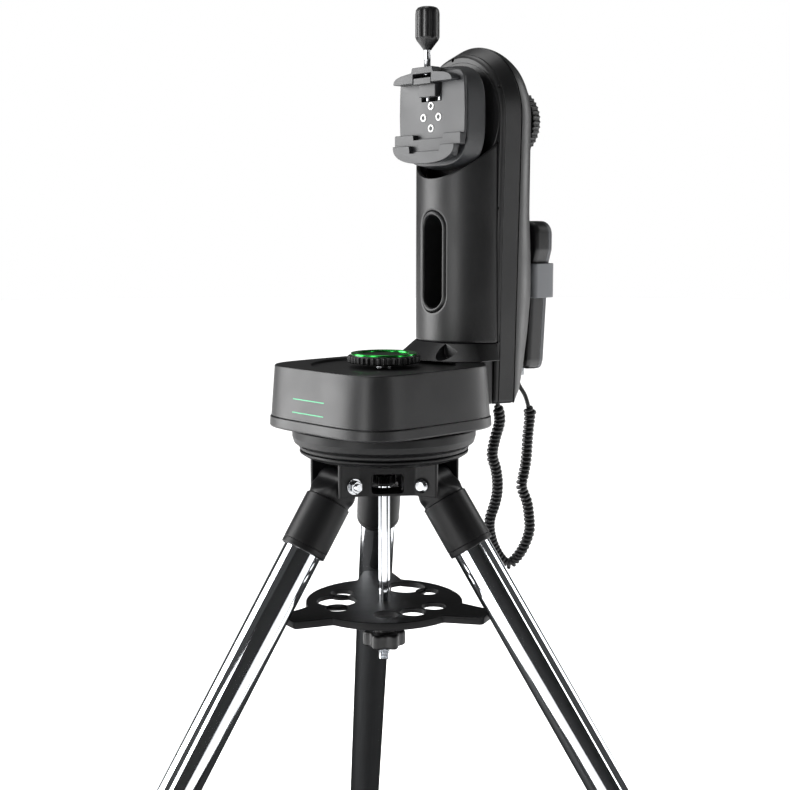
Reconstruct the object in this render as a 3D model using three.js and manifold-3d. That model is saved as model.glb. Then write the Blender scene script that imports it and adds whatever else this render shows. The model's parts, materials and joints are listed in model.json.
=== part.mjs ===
// A single-arm, motor driven telescope mount on a three-legged steel tripod.
// Millimetres, +Z up. The origin is on the floor, under the middle of the mount's own box.
// The mount is modelled as it stands ready for use: legs open, arm turned to one side.

import * as THREE from 'three';
import { mergeVertices } from 'three/addons/utils/BufferGeometryUtils.js';
import Module from 'manifold-3d';

const wasm = await Module();
wasm.setup();

// ---------------------------------------------------------------- driving dimensions

const GAP = 0.3; // clearance kept between touching pieces

// Tripod. Heights below are measured from the underside of the tripod hub.
const HUB_HEIGHT = 600; // hub underside above the floor
const LEG_SPLAY = THREE.MathUtils.degToRad(33); // legs from the vertical
const LEG_AZIMUTHS = [90, 210, 330].map(THREE.MathUtils.degToRad);
const PIVOT_RADIUS = 45;
const PIVOT_Z = 9;
const UPPER_TUBE_RADIUS = 31.75 / 2;
const LOWER_TUBE_RADIUS = 25.4 / 2;
const TUBE_WALL = 1.5;
const SLEEVE_RADIUS = 19;
const SLEEVE_RANGE = [6, 63]; // distances down the leg from its pivot
const UPPER_TUBE_RANGE = [22, 548];
const COLLAR_RANGE = [528, 588];
const LOWER_TUBE_RANGE = [300, 706];
const BOOT_RANGE = [684, 740];
const BOOT_RADIUS = 17;

const HUB_WALL_DISTANCE = 40; // flat walls between the legs
const EAR_TIP = 58;
const EAR_INNER = 19.6;
const EAR_OUTER = 23.5;
const SLOT_FLOOR = 24;
const HUB_TOP = 27;
const TOP_PLATE_RADIUS = 70;
const TOP_PLATE_Z = 33;

const ROD_RADIUS = 4.76;
const ROD_RANGE = [-148, 43];
const TRAY_TOP = -97;
const TRAY_LOBE = 66;
const TRAY_REACH = 94;

// Fixed bowl and turning base.
const BOWL_RADIUS = 76;
const BOWL_TOP = 51.5;
const BASE_BOTTOM = 52;
const BASE_SEAM = 61.5;
const BASE_TOP = 103;
const BASE_HALF = 76; // half width of the squircle plan at the bottom
const BASE_DRAFT = 4;
const BASE_SQUARENESS = 4.4; // exponent of the squircle
const BASE_SHIFT = -4; // the base sits a little away from the arm
const SHELL_WALL = 3;
const AZIMUTH_SHAFT_RADIUS = 8;
const CLUTCH_RADIUS = 30;

// Arm. x points from the azimuth axis to the arm, y across it.
const HEAD_TURN = THREE.MathUtils.degToRad(38);
const ALTITUDE_Z = 305;
const PANEL_AXIS_X = 101.3;
const PANEL_RADIUS = 47.3;
const PANEL_BOTTOM = 118;
const FOOT_RADIUS = 63.6;
const SCOOP_RADIUS = 50; // room for the saddle to turn
const FRAME_FRONT = 86;
const FRAME_BACK = 104;
const FRAME_BOTTOM = 65.5;
const FRAME_HALF_FRONT = 49.5;
const FRAME_HALF_BACK = 55.5;
const FRAME_NARROWING = 5.5; // how much narrower each side is at the bottom
const FRAME_RISE_FRONT = 52; // top of the arch above the altitude axis
const FRAME_RISE_BACK = 61;
const PLATE_THICKNESS = 3;
const HANDLE_SLOT = { z: 185.5, length: 78, width: 21.5, lip: 4, depth: 30 };
const ALTITUDE_SHAFT_RADIUS = 9;
const SHELL_DEPTHS = [[66, 3], [74, 20], [90, 27], [125, 35], [158, 39], [190, 37], [225, 33], [305, 31]];

// Saddle.
const SADDLE_FACE = 53; // distance of the saddle plate's face from the azimuth axis
const DRUM_RANGE = [56.3, 74];
const JAW_RADIUS = 41.5;
const DOVETAIL_FLOOR = 290;
const DOVETAIL_ROOF = 329;
const CLAMP_X = 48.5;

// Hand controller behind the arm.
const HANDSET_RANGE = [146.5, 168];
const HANDSET_BOTTOM = 89;
const HANDSET_TOP = 220;
const CORD_RADIUS = 1.9;
const COIL_RADIUS = 5.2;

// ---------------------------------------------------------------- looks

function look(color, roughness, metalness) {
  return { color, roughness, metalness };
}

const LOOKS = {
  cast: look(0x2a2b2e, 0.55, 0.2),
  shell: look(0x5c5e62, 0.5, 0.15),
  dark: look(0x17181a, 0.5, 0.1),
  steel: look(0xc9ccd0, 0.18, 1.0),
  brass: look(0xb9963f, 0.35, 1.0),
  green: look(0x1f8f3f, 0.3, 0.8),
  rubber: look(0x1c1c1d, 0.85, 0.0),
  grey: look(0x9a9c9f, 0.55, 0.1),
  clear: look(0xdfe6ea, 0.1, 0.0),
  board: look(0x1d5a36, 0.6, 0.0),
  screen: look(0x5d7a3c, 0.2, 0.0),
};

// ---------------------------------------------------------------- solids

function isPoint(index, i) {
  const [a, b, c] = [index.getX(i), index.getX(i + 1), index.getX(i + 2)];
  return a === b || b === c || c === a;
}

// Shares the vertices of a closed geometry and turns its faces outward.
function weld(geometry) {
  const bare = geometry.clone();
  bare.deleteAttribute('normal');
  bare.deleteAttribute('uv');
  const shared = mergeVertices(bare, 1e-4);
  const position = shared.getAttribute('position');
  const triangles = [];
  let volume = 0;
  const corners = [new THREE.Vector3(), new THREE.Vector3(), new THREE.Vector3()];
  for (let i = 0; i < shared.index.count; i += 3) {
    if (isPoint(shared.index, i)) continue;
    const ids = [0, 1, 2].map((k) => shared.index.getX(i + k));
    corners.forEach((corner, k) => corner.fromBufferAttribute(position, ids[k]));
    volume += corners[0].dot(corners[1].clone().cross(corners[2]));
    triangles.push(ids);
  }
  shared.setIndex(triangles.flatMap((ids) => (volume < 0 ? ids.reverse() : ids)));
  return shared;
}

function toManifold(geometry) {
  const welded = weld(geometry);
  return new wasm.Manifold(new wasm.Mesh({
    numProp: 3,
    vertProperties: new Float32Array(welded.getAttribute('position').array),
    triVerts: new Uint32Array(welded.index.array),
  }));
}

function toGeometry(manifold) {
  const mesh = manifold.getMesh();
  const geometry = new THREE.BufferGeometry();
  geometry.setAttribute('position', new THREE.BufferAttribute(new Float32Array(mesh.vertProperties), 3));
  geometry.setIndex(new THREE.BufferAttribute(new Uint32Array(mesh.triVerts), 1));
  return geometry;
}

function join(first, ...others) {
  return toGeometry(others.reduce((whole, part) => whole.add(toManifold(part)), toManifold(first)));
}

function cut(first, ...tools) {
  return toGeometry(tools.reduce((whole, tool) => whole.subtract(toManifold(tool)), toManifold(first)));
}

function overlap(first, second) {
  return toGeometry(toManifold(first).intersect(toManifold(second)));
}

const X = new THREE.Vector3(1, 0, 0);
const Y = new THREE.Vector3(0, 1, 0);
const Z = new THREE.Vector3(0, 0, 1);
const FRAMES = {
  x: new THREE.Matrix4().makeBasis(Y, Z, X),
  y: new THREE.Matrix4().makeBasis(Z, X, Y),
  z: new THREE.Matrix4(),
};

// A flat shape pushed along an axis. Its own x and y are the next two axes in turn.
function slab(shape, [from, to], axis = 'z', curveSegments = 12) {
  const options = { depth: to - from, bevelEnabled: false, curveSegments };
  const geometry = new THREE.ExtrudeGeometry(shape, options).translate(0, 0, from);
  return geometry.applyMatrix4(FRAMES[axis]);
}

// A round bar along an axis, centred on the next two axes at the given place.
function bar(radius, [from, to], axis = 'z', centre = [0, 0], sides = 20, endRadius = radius) {
  const geometry = new THREE.CylinderGeometry(endRadius, radius, to - from, sides);
  geometry.rotateX(Math.PI / 2);
  geometry.translate(centre[0], centre[1], (from + to) / 2);
  return geometry.applyMatrix4(FRAMES[axis]);
}

function block([x0, x1], [y0, y1], [z0, z1]) {
  const geometry = new THREE.BoxGeometry(x1 - x0, y1 - y0, z1 - z0);
  return geometry.translate((x0 + x1) / 2, (y0 + y1) / 2, (z0 + z1) / 2);
}

// A closed profile of [radius, height] pairs turned about an axis.
function turned(profile, axis = 'z', centre = [0, 0], sides = 20) {
  const points = [...profile, profile[0]].map(([r, h]) => new THREE.Vector2(r, h));
  const geometry = new THREE.LatheGeometry(points, sides);
  geometry.rotateX(Math.PI / 2);
  geometry.translate(centre[0], centre[1], 0);
  return geometry.applyMatrix4(FRAMES[axis]);
}

function tube(outer, inner, [from, to], axis = 'z', centre = [0, 0], sides = 20) {
  return turned([[inner, from], [outer, from], [outer, to], [inner, to]], axis, centre, sides);
}

function polygon(points) {
  return new THREE.Shape(points.map(([x, y]) => new THREE.Vector2(x, y)));
}

function roundedRectangle(width, height, radius, [cx, cy] = [0, 0]) {
  const [x, y] = [width / 2 - radius, height / 2 - radius];
  const shape = new THREE.Shape();
  shape.absarc(cx + x, cy + y, radius, 0, Math.PI / 2);
  shape.absarc(cx - x, cy + y, radius, Math.PI / 2, Math.PI);
  shape.absarc(cx - x, cy - y, radius, Math.PI, Math.PI * 1.5);
  shape.absarc(cx + x, cy - y, radius, Math.PI * 1.5, Math.PI * 2);
  return shape;
}

function squircle(half, exponent, count = 40) {
  const points = [];
  for (let i = 0; i < count; i += 1) {
    const angle = (i / count) * Math.PI * 2;
    const [c, s] = [Math.cos(angle), Math.sin(angle)];
    const reach = half / (Math.abs(c) ** exponent + Math.abs(s) ** exponent) ** (1 / exponent);
    points.push([reach * c, reach * s]);
  }
  return polygon(points);
}

// A round outline with evenly spaced teeth, ribs or lobes.
function toothed(outer, inner, count, steps = 4) {
  const points = [];
  for (let i = 0; i < count * steps; i += 1) {
    const angle = (i / (count * steps)) * Math.PI * 2;
    const radius = i % steps < steps / 2 ? outer : inner;
    points.push([radius * Math.cos(angle), radius * Math.sin(angle)]);
  }
  return polygon(points);
}

function lobed(radius, depth, count, steps = 8) {
  const points = [];
  for (let i = 0; i < count * steps; i += 1) {
    const angle = (i / (count * steps)) * Math.PI * 2;
    const reach = radius - depth * (0.5 - 0.5 * Math.cos(count * angle));
    points.push([reach * Math.cos(angle), reach * Math.sin(angle)]);
  }
  return polygon(points);
}

// Moves every point of a geometry by a function of its place.
function reshaped(geometry, move) {
  const position = geometry.getAttribute('position');
  const point = new THREE.Vector3();
  for (let i = 0; i < position.count; i += 1) {
    move(point.fromBufferAttribute(position, i));
    position.setXYZ(i, point.x, point.y, point.z);
  }
  return geometry;
}

function mesh(name, geometry, style) {
  const welded = weld(geometry);
  welded.computeVertexNormals();
  const piece = new THREE.Mesh(welded, new THREE.MeshStandardMaterial(style));
  piece.name = name;
  return piece;
}

// ---------------------------------------------------------------- tripod

function hubPlan() {
  const points = [];
  const wallCorner = (HUB_WALL_DISTANCE - EAR_OUTER * Math.sin(Math.PI / 3)) / Math.cos(Math.PI / 3);
  const oneLeg = [
    [wallCorner, -EAR_OUTER], [EAR_TIP, -EAR_OUTER], [EAR_TIP, -EAR_INNER], [SLOT_FLOOR, -EAR_INNER],
    [SLOT_FLOOR, EAR_INNER], [EAR_TIP, EAR_INNER], [EAR_TIP, EAR_OUTER], [wallCorner, EAR_OUTER],
  ];
  for (const azimuth of LEG_AZIMUTHS) {
    const [c, s] = [Math.cos(azimuth), Math.sin(azimuth)];
    for (const [along, across] of oneLeg) {
      points.push([along * c - across * s, along * s + across * c]);
    }
  }
  return polygon(points);
}

function tripodHub() {
  const body = slab(hubPlan(), [0, HUB_TOP + 1]);
  const topPlate = turned([
    [0, HUB_TOP], [61, HUB_TOP], [67, HUB_TOP + 1.4], [TOP_PLATE_RADIUS, HUB_TOP + 4],
    [TOP_PLATE_RADIUS, TOP_PLATE_Z], [0, TOP_PLATE_Z],
  ], 'z', [0, 0], 36);
  const well = bar(14, [-1, 20]);
  const boltHole = bar(ROD_RADIUS + 0.5, [-2, TOP_PLATE_Z + 2], 'z', [0, 0], 16);
  let hub = cut(join(body, topPlate), well, boltHole);
  for (const azimuth of LEG_AZIMUTHS) {
    const window = block([0, HUB_WALL_DISTANCE + 5], [-13, 13], [2, 18]).rotateZ(azimuth + Math.PI / 3);
    const pinHole = bar(3.4, [-EAR_OUTER - 2, EAR_OUTER + 2], 'y', [PIVOT_Z, PIVOT_RADIUS], 12);
    hub = cut(hub, window, pinHole.rotateZ(azimuth));
  }
  return mesh('tripod_hub', hub, LOOKS.cast);
}

function legBracket(name) {
  const [top, bottom] = SLEEVE_RANGE;
  const sleeve = turned([
    [0, -bottom + 1], [SLEEVE_RADIUS - 1, -bottom], [SLEEVE_RADIUS, -bottom + 1],
    [SLEEVE_RADIUS, -top], [0, -top],
  ], 'z', [0, 0], 24);
  const knuckle = bar(11, [-SLEEVE_RADIUS + 0.4, SLEEVE_RADIUS - 0.4], 'y', [0, 0], 20);
  const neck = block([-10.5, 10.5], [-SLEEVE_RADIUS + 0.6, SLEEVE_RADIUS - 0.6], [-14, 0]);
  const bore = bar(UPPER_TUBE_RADIUS + GAP, [-bottom - 2, -UPPER_TUBE_RANGE[0] + GAP], 'z', [0, 0], 20);
  const pin = bar(3.4, [-SLEEVE_RADIUS - 2, SLEEVE_RADIUS + 2], 'y', [0, 0], 12);
  return mesh(name, cut(join(sleeve, knuckle, neck), bore, pin), LOOKS.cast);
}

function legBolt(name) {
  const shank = bar(3, [-EAR_OUTER - 7, EAR_OUTER + 7.5], 'y', [0, 0], 12);
  const head = bar(5.8, [-EAR_OUTER - 5.5, -EAR_OUTER - GAP], 'y', [0, 0], 6);
  const nut = bar(5.8, [EAR_OUTER + GAP, EAR_OUTER + 5], 'y', [0, 0], 6);
  return mesh(name, join(shank, head, nut), LOOKS.steel);
}

function legUpperTube(name) {
  const range = [-UPPER_TUBE_RANGE[1], -UPPER_TUBE_RANGE[0]];
  const inner = UPPER_TUBE_RADIUS - TUBE_WALL;
  return mesh(name, tube(UPPER_TUBE_RADIUS, inner, range), LOOKS.steel);
}

function legCollar(name) {
  const [top, bottom] = COLLAR_RANGE;
  const ledge = -UPPER_TUBE_RANGE[1] - GAP;
  const wide = UPPER_TUBE_RADIUS + GAP;
  const narrow = LOWER_TUBE_RADIUS + 0.5;
  const body = turned([
    [narrow, -bottom], [17, -bottom], [20.5, ledge - 2], [20.5, -top - 2],
    [19, -top], [wide, -top], [wide, ledge], [narrow, ledge],
  ]);
  const boss = bar(8, [14, 27], 'x', [0, -bottom + 18], 16);
  const screwHole = bar(3.4, [10, 30], 'x', [0, -bottom + 18], 12);
  const clearBore = bar(narrow, [-bottom - 1, ledge]);
  return mesh(name, cut(join(body, boss), clearBore, screwHole), LOOKS.dark);
}

function legClampKnob(name) {
  const z = -COLLAR_RANGE[1] + 18;
  const screw = bar(3, [LOWER_TUBE_RADIUS + 1.2, 34], 'x', [0, z], 12);
  const grip = slab(lobed(11, 2.4, 5), [28, 40], 'x').translate(0, 0, z);
  return mesh(name, join(screw, grip), LOOKS.dark);
}

function legLowerTube(name) {
  const range = [-LOWER_TUBE_RANGE[1], -LOWER_TUBE_RANGE[0]];
  const inner = LOWER_TUBE_RADIUS - TUBE_WALL;
  return mesh(name, tube(LOWER_TUBE_RADIUS, inner, range), LOOKS.steel);
}

function legMatrix() {
  const tilt = new THREE.Matrix4().makeRotationY(-LEG_SPLAY);
  return new THREE.Matrix4().makeTranslation(PIVOT_RADIUS, 0, PIVOT_Z).multiply(tilt);
}

// A rubber boot cut level where it meets the floor.
function legFoot(name) {
  const [top, bottom] = BOOT_RANGE;
  const boot = turned([
    [0, -bottom - 20], [BOOT_RADIUS + 2, -bottom - 20], [BOOT_RADIUS + 2, -bottom + 26],
    [BOOT_RADIUS, -bottom + 32], [BOOT_RADIUS, -top - 2], [BOOT_RADIUS - 1.5, -top], [0, -top],
  ]);
  const socket = bar(LOWER_TUBE_RADIUS + GAP, [-LOWER_TUBE_RANGE[1] - GAP, -top + 2]);
  const floor = block([0, 900], [-100, 100], [-HUB_HEIGHT - 200, -HUB_HEIGHT]);
  floor.applyMatrix4(legMatrix().invert());
  return mesh(name, cut(boot, socket, floor), LOOKS.rubber);
}

function leg(number, azimuth) {
  const group = new THREE.Group();
  group.rotation.z = azimuth;
  const tilted = new THREE.Group();
  tilted.position.set(PIVOT_RADIUS, 0, PIVOT_Z);
  tilted.rotation.y = -LEG_SPLAY;
  const name = (part) => `leg_${number}_${part}`;
  tilted.add(
    legBracket(name('bracket')), legBolt(name('bolt')), legUpperTube(name('upper_tube')),
    legCollar(name('collar')), legClampKnob(name('clamp_knob')), legLowerTube(name('lower_tube')),
    legFoot(name('foot')),
  );
  group.add(tilted);
  return group;
}

function centreRod() {
  return mesh('centre_rod', bar(ROD_RADIUS, ROD_RANGE, 'z', [0, 0], 16), LOOKS.steel);
}

function mountNut() {
  const grip = slab(toothed(9.5, 8.6, 16, 2), [3, 10.5]);
  const collar = bar(7.6, [10.5, 16.5]);
  const bore = bar(ROD_RADIUS + GAP, [0, 20], 'z', [0, 0], 16);
  return mesh('mount_nut', cut(join(grip, collar), bore), LOOKS.steel);
}

function trayOutline(inset) {
  const points = [];
  const armHalf = 12 - inset;
  const steps = 9;
  for (const azimuth of LEG_AZIMUTHS) {
    const place = (along, across) => [
      along * Math.cos(azimuth) - across * Math.sin(azimuth),
      along * Math.sin(azimuth) + across * Math.cos(azimuth),
    ];
    points.push(place(TRAY_REACH - inset, -armHalf), place(TRAY_REACH - inset, armHalf));
    const start = Math.asin((armHalf + 8) / (TRAY_LOBE - inset));
    for (let i = 0; i <= steps; i += 1) {
      const angle = azimuth + start + (i / steps) * (Math.PI * 2 / 3 - start * 2);
      points.push([(TRAY_LOBE - inset) * Math.cos(angle), (TRAY_LOBE - inset) * Math.sin(angle)]);
    }
  }
  return polygon(points);
}

function spreaderTray() {
  const plate = slab(trayOutline(0), [TRAY_TOP - 8, TRAY_TOP]);
  const hollow = slab(trayOutline(2.4), [TRAY_TOP - 9, TRAY_TOP - 3]);
  const boss = bar(12, [-119, TRAY_TOP - 2]);
  const bore = bar(ROD_RADIUS + GAP, [-125, TRAY_TOP + 5], 'z', [0, 0], 16);
  const holes = [];
  const eyepieceHoles = [
    [16.5, 43, 60], [9.5, 45, 30], [16.5, 40, 178], [9.5, 45, 207], [9.5, 42, 145],
    [10.5, 42, 300], [10, 45, 332], [10, 42, 268],
  ];
  for (const [radius, distance, degrees] of eyepieceHoles) {
    const angle = THREE.MathUtils.degToRad(degrees);
    const centre = [distance * Math.cos(angle), distance * Math.sin(angle)];
    holes.push(bar(radius, [TRAY_TOP - 20, TRAY_TOP + 5], 'z', centre, 14));
  }
  return mesh('spreader_tray', cut(join(cut(plate, hollow), boss), bore, ...holes), LOOKS.dark);
}

function trayKnob() {
  const grip = slab(lobed(18, 4, 6), [-136.6, -123.5]);
  const collar = bar(9, [-124, -119.4]);
  const bore = bar(ROD_RADIUS + GAP, [-140, -110], 'z', [0, 0], 16);
  return mesh('tray_knob', cut(join(grip, collar), bore), LOOKS.dark);
}

function azimuthBowl() {
  const profile = [
    [ROD_RADIUS + 0.5, 33.3], [69, 33.3], [72.5, 36], [75, 40.5], [BOWL_RADIUS, 45.5],
    [BOWL_RADIUS, BOWL_TOP], [72.5, BOWL_TOP], [72, 45], [68, 38], [16, 38], [16, 50],
    [AZIMUTH_SHAFT_RADIUS + GAP, 50], [AZIMUTH_SHAFT_RADIUS + GAP, 44], [ROD_RADIUS + 0.5, 44],
  ];
  return mesh('azimuth_bowl', turned(profile, 'z', [0, 0], 40), LOOKS.cast);
}

function azimuthShaft() {
  return mesh('azimuth_shaft', bar(AZIMUTH_SHAFT_RADIUS, [44.3, 101.5]), LOOKS.steel);
}

function clutchGrip([from, to], axis) {
  return slab(toothed(CLUTCH_RADIUS, CLUTCH_RADIUS - 1.3, 30, 2), [from, to], axis);
}

function azimuthKnob() {
  const skirt = bar(CLUTCH_RADIUS - 3, [103.6, 105], 'z', [0, 0], 24);
  const topSeat = tube(CLUTCH_RADIUS + 1, 27.6, [109, 112], 'z', [0, 0], 30);
  const grip = clutchGrip([104.4, 110], 'z');
  return mesh('azimuth_clutch_knob', cut(join(grip, skirt), topSeat), LOOKS.dark);
}

function azimuthRing() {
  return mesh('azimuth_clutch_ring', tube(27.3, 21, [110.3, 112], 'z', [0, 0], 30), LOOKS.green);
}

// ---------------------------------------------------------------- turning base

function tapered(geometry, [z0, z1], shrink) {
  return reshaped(geometry, (point) => {
    const scale = 1 - (shrink / BASE_HALF) * ((point.z - z0) / (z1 - z0));
    point.x *= scale;
    point.y *= scale;
  });
}

function baseSlab(half, [from, to]) {
  const draft = BASE_DRAFT * ((to - from) / (BASE_TOP - BASE_BOTTOM));
  return tapered(slab(squircle(half, BASE_SQUARENESS), [from, to]), [from, to], draft);
}

function baseHousing() {
  const seam = BASE_SEAM - GAP;
  const shell = baseSlab(BASE_HALF, [BASE_BOTTOM, seam]);
  const room = baseSlab(BASE_HALF - 3.5, [BASE_BOTTOM + SHELL_WALL, seam + 1]);
  const hole = bar(AZIMUTH_SHAFT_RADIUS + 0.6, [BASE_BOTTOM - 5, seam]);
  const body = cut(shell, room).translate(BASE_SHIFT, 0, 0);
  return mesh('base_housing', cut(body, hole), LOOKS.shell);
}

function baseCover() {
  const half = BASE_HALF - 0.8;
  const shell = baseSlab(half, [BASE_SEAM, BASE_TOP]);
  const room = baseSlab(half - SHELL_WALL, [BASE_SEAM - 1, BASE_TOP - 5]);
  const dish = bar(60, [BASE_TOP - 2.4, BASE_TOP + 2], 'z', [-BASE_SHIFT, 0], 36);
  const hole = bar(AZIMUTH_SHAFT_RADIUS + 0.6, [BASE_TOP - 10, BASE_TOP + 1], 'z', [-BASE_SHIFT, 0]);
  const panelHole = block([-24, 24], [60, 90], [70, 92]);
  return mesh('base_cover', cut(shell, room, dish, hole, panelHole).translate(BASE_SHIFT, 0, 0), LOOKS.shell);
}

function azimuthGear() {
  const gear = slab(toothed(36, 34, 24), [62, 69]);
  const bore = bar(AZIMUTH_SHAFT_RADIUS + 0.6, [60, 72]);
  return mesh('azimuth_gear', cut(gear, bore), LOOKS.brass);
}

function azimuthDrive() {
  const worm = bar(5.5, [-18, 14], 'x', [43, 65.5], 16);
  const gearbox = block([13, 24], [35, 56], [57, 80]);
  const motor = bar(11, [24, 52], 'x', [43, 68], 20);
  const foot = block([26, 50], [38, 48], [BASE_BOTTOM + SHELL_WALL + GAP, 60]);
  return mesh('azimuth_drive', join(gearbox, worm, motor, foot), LOOKS.steel);
}

function portPanel() {
  const plate = slab(roundedRectangle(21, 47, 2, [81, BASE_SHIFT]), [69.8, 72.6], 'y', 4);
  const inlet = tube(5.5, 3, [63, 74], 'y', [81, -14 + BASE_SHIFT], 16);
  const jackHole = bar(3, [60, 76], 'y', [81, -14 + BASE_SHIFT], 16);
  const switchHole = block([4.6 + BASE_SHIFT, 19.4 + BASE_SHIFT], [60, 76], [75.6, 86.4]);
  return mesh('port_panel', cut(join(plate, inlet), jackHole, switchHole), LOOKS.dark);
}

function powerSwitch() {
  const rocker = polygon([[-6, 67.5], [6, 67.5], [6, 74.2], [0, 73], [-6, 75.4]]);
  const geometry = slab(rocker, [76, 86]).translate(12 + BASE_SHIFT, 0, 0);
  return mesh('power_switch', geometry, LOOKS.rubber);
}

// ---------------------------------------------------------------- arm

function armFoot() {
  const centre = [PANEL_AXIS_X, 0];
  const top = PANEL_BOTTOM - GAP;
  const cone = bar(FOOT_RADIUS, [BASE_TOP + GAP, top], 'z', centre, 40, PANEL_RADIUS);
  const tongue = block([74, FRAME_FRONT - GAP], [-43, 43], [FRAME_BOTTOM + 0.5, top]);
  const keep = block([30, FRAME_FRONT - GAP], [-50.5, 50.5], [FRAME_BOTTOM, top + 1]);
  const room = bar(FOOT_RADIUS - 7, [BASE_TOP + 4, top + 1], 'z', centre, 32, PANEL_RADIUS - 4);
  const roomEnd = block([30, FRAME_FRONT - 4], [-39, 39], [BASE_TOP + 4, top + 2]);
  const notch = bar(8, [30, 56], 'x', [-22, 112], 20);
  const shell = overlap(join(cone, tongue), keep);
  const shaftRoom = bar(CLUTCH_RADIUS + 1.5, [100, 120], 'z', [0, 0], 40);
  return mesh('arm_foot', cut(shell, overlap(room, roomEnd), notch, shaftRoom), LOOKS.shell);
}

function obround(width, length, z) {
  return roundedRectangle(width, length, width / 2 - 0.01, [0, z]);
}

function armFrontPanel() {
  const back = FRAME_FRONT + PLATE_THICKNESS - 0.5;
  const centre = [PANEL_AXIS_X, 0];
  const scoop = (radius) => bar(radius, [20, 140], 'x', [0, ALTITUDE_Z], 48);
  const behind = block([back, 160], [-60, 60], [90, 320]);
  const outer = cut(bar(PANEL_RADIUS, [PANEL_BOTTOM, 290], 'z', centre, 48), scoop(SCOOP_RADIUS), behind);
  const inner = cut(bar(PANEL_RADIUS - SHELL_WALL, [90, 290], 'z', centre, 36), scoop(SCOOP_RADIUS + 3));
  const { width, length, lip, z } = HANDLE_SLOT;
  const opening = slab(obround(width + lip * 2, length + lip * 2, z), [30, 80], 'x', 5);
  return mesh('arm_front_panel', cut(outer, inner, opening), LOOKS.shell);
}

function handleLiner() {
  const { width, length, lip, z, depth } = HANDLE_SLOT;
  const rim = (lip - GAP) * 2;
  const front = PANEL_AXIS_X - PANEL_RADIUS;
  const flange = slab(obround(width + rim, length + rim, z), [front - 5, front + 8], 'x', 5);
  const tub = slab(obround(width + 4, length + 4, z), [front + 6, front + depth], 'x', 5);
  const pocket = slab(obround(width, length, z), [front - 10, front + depth - 2], 'x', 5);
  const skin = bar(PANEL_RADIUS, [PANEL_BOTTOM, 290], 'z', [PANEL_AXIS_X, 0], 48);
  return mesh('handle_liner', cut(overlap(join(flange, tub), skin), pocket), LOOKS.shell);
}

function archOutline(half, rise, bottom, narrowing) {
  const shape = new THREE.Shape();
  shape.moveTo(-half + narrowing, bottom);
  shape.lineTo(half - narrowing, bottom);
  shape.lineTo(half, ALTITUDE_Z);
  shape.absellipse(0, ALTITUDE_Z, half, rise, 0, Math.PI);
  return shape;
}

// The arm's arch-shaped body, which widens from its front to its back.
function archBody([from, to], inset, bottom) {
  const half = FRAME_HALF_FRONT - inset;
  const rise = FRAME_RISE_FRONT - inset;
  const body = slab(archOutline(half, rise, bottom, FRAME_NARROWING), [from, to], 'x', 20);
  const widen = (FRAME_HALF_BACK - FRAME_HALF_FRONT) / half;
  const lift = (FRAME_RISE_BACK - FRAME_RISE_FRONT) / rise;
  return reshaped(body, (point) => {
    const depth = (point.x - FRAME_FRONT) / (FRAME_BACK - FRAME_FRONT);
    point.y *= 1 + widen * depth;
    point.z += point.z > ALTITUDE_Z ? (point.z - ALTITUDE_Z) * lift * depth : 0;
  });
}

function armFrame() {
  const body = archBody([FRAME_FRONT, FRAME_BACK], 0, FRAME_BOTTOM);
  const room = archBody([FRAME_FRONT + PLATE_THICKNESS, FRAME_BACK + 2], 3.5, FRAME_BOTTOM + 3.5);
  const disc = bar(SCOOP_RADIUS - 0.6, [0, 200], 'x', [0, ALTITUDE_Z], 48);
  const doorway = cut(
    block([FRAME_FRONT - 5, FRAME_FRONT + PLATE_THICKNESS + 1], [-45.9, 45.9], [PANEL_BOTTOM - 0.4, ALTITUDE_Z]),
    disc,
  );
  const bearing = bar(17, [FRAME_FRONT, 93], 'x', [0, ALTITUDE_Z]);
  const bore = bar(ALTITUDE_SHAFT_RADIUS + 0.6, [FRAME_FRONT - 5, 110], 'x', [0, ALTITUDE_Z]);
  return mesh('arm_frame', cut(join(cut(body, room, doorway), bearing), bore), LOOKS.dark);
}

function shellDepth(z) {
  const table = SHELL_DEPTHS;
  if (z <= table[0][0]) return table[0][1];
  for (let i = 1; i < table.length; i += 1) {
    const [[z0, d0], [z1, d1]] = [table[i - 1], table[i]];
    if (z <= z1) return THREE.MathUtils.lerp(d0, d1, (z - z0) / (z1 - z0));
  }
  return table.at(-1)[1];
}

// A cushion-backed shell: a gridded box pressed into an arch with rounded corners.
function domedBack(inset, bottom, [across, up, deep]) {
  const half = FRAME_HALF_BACK - inset;
  const rise = FRAME_RISE_BACK - inset;
  const drop = ALTITUDE_Z - bottom;
  const corner = 0.4;
  const box = new THREE.BoxGeometry(1, 2, 2, deep, across, up).translate(0.5, 0, 0);
  return reshaped(box, (point) => {
    const [a, b, c] = [point.x, point.y, point.z];
    const arch = Math.max(c, 0);
    const narrowing = FRAME_NARROWING * Math.max(-c, 0);
    const across2 = b * Math.sqrt(1 - corner * a * a - (arch * arch) / 2 + (corner * a * a * arch * arch) * 0.66);
    point.y = across2 * (half - narrowing);
    point.z = c > 0
      ? ALTITUDE_Z + rise * c * Math.sqrt(1 - (b * b) / 2 - corner * a * a + corner * a * a * b * b * 0.66)
      : ALTITUDE_Z + drop * c;
    const depth = Math.max(shellDepth(point.z) - inset, 1);
    const rounding = Math.sqrt(1 - corner * b * b - corner * arch * arch + corner * b * b * arch * arch * 0.66);
    point.x = FRAME_BACK + GAP + depth * a * rounding;
  });
}

function armBackShell() {
  const outer = domedBack(0, FRAME_BOTTOM + 0.5, [6, 16, 3]);
  const inner = domedBack(3, 76, [4, 9, 2]).translate(-1, 0, 0);
  const bore = bar(ALTITUDE_SHAFT_RADIUS + 0.8, [100, 160], 'x', [0, ALTITUDE_Z]);
  const cordSocket = bar(6, [60, 90], 'z', [114, -20], 16);
  return mesh('arm_back_shell', cut(outer, inner, bore, cordSocket), LOOKS.shell);
}

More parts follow.
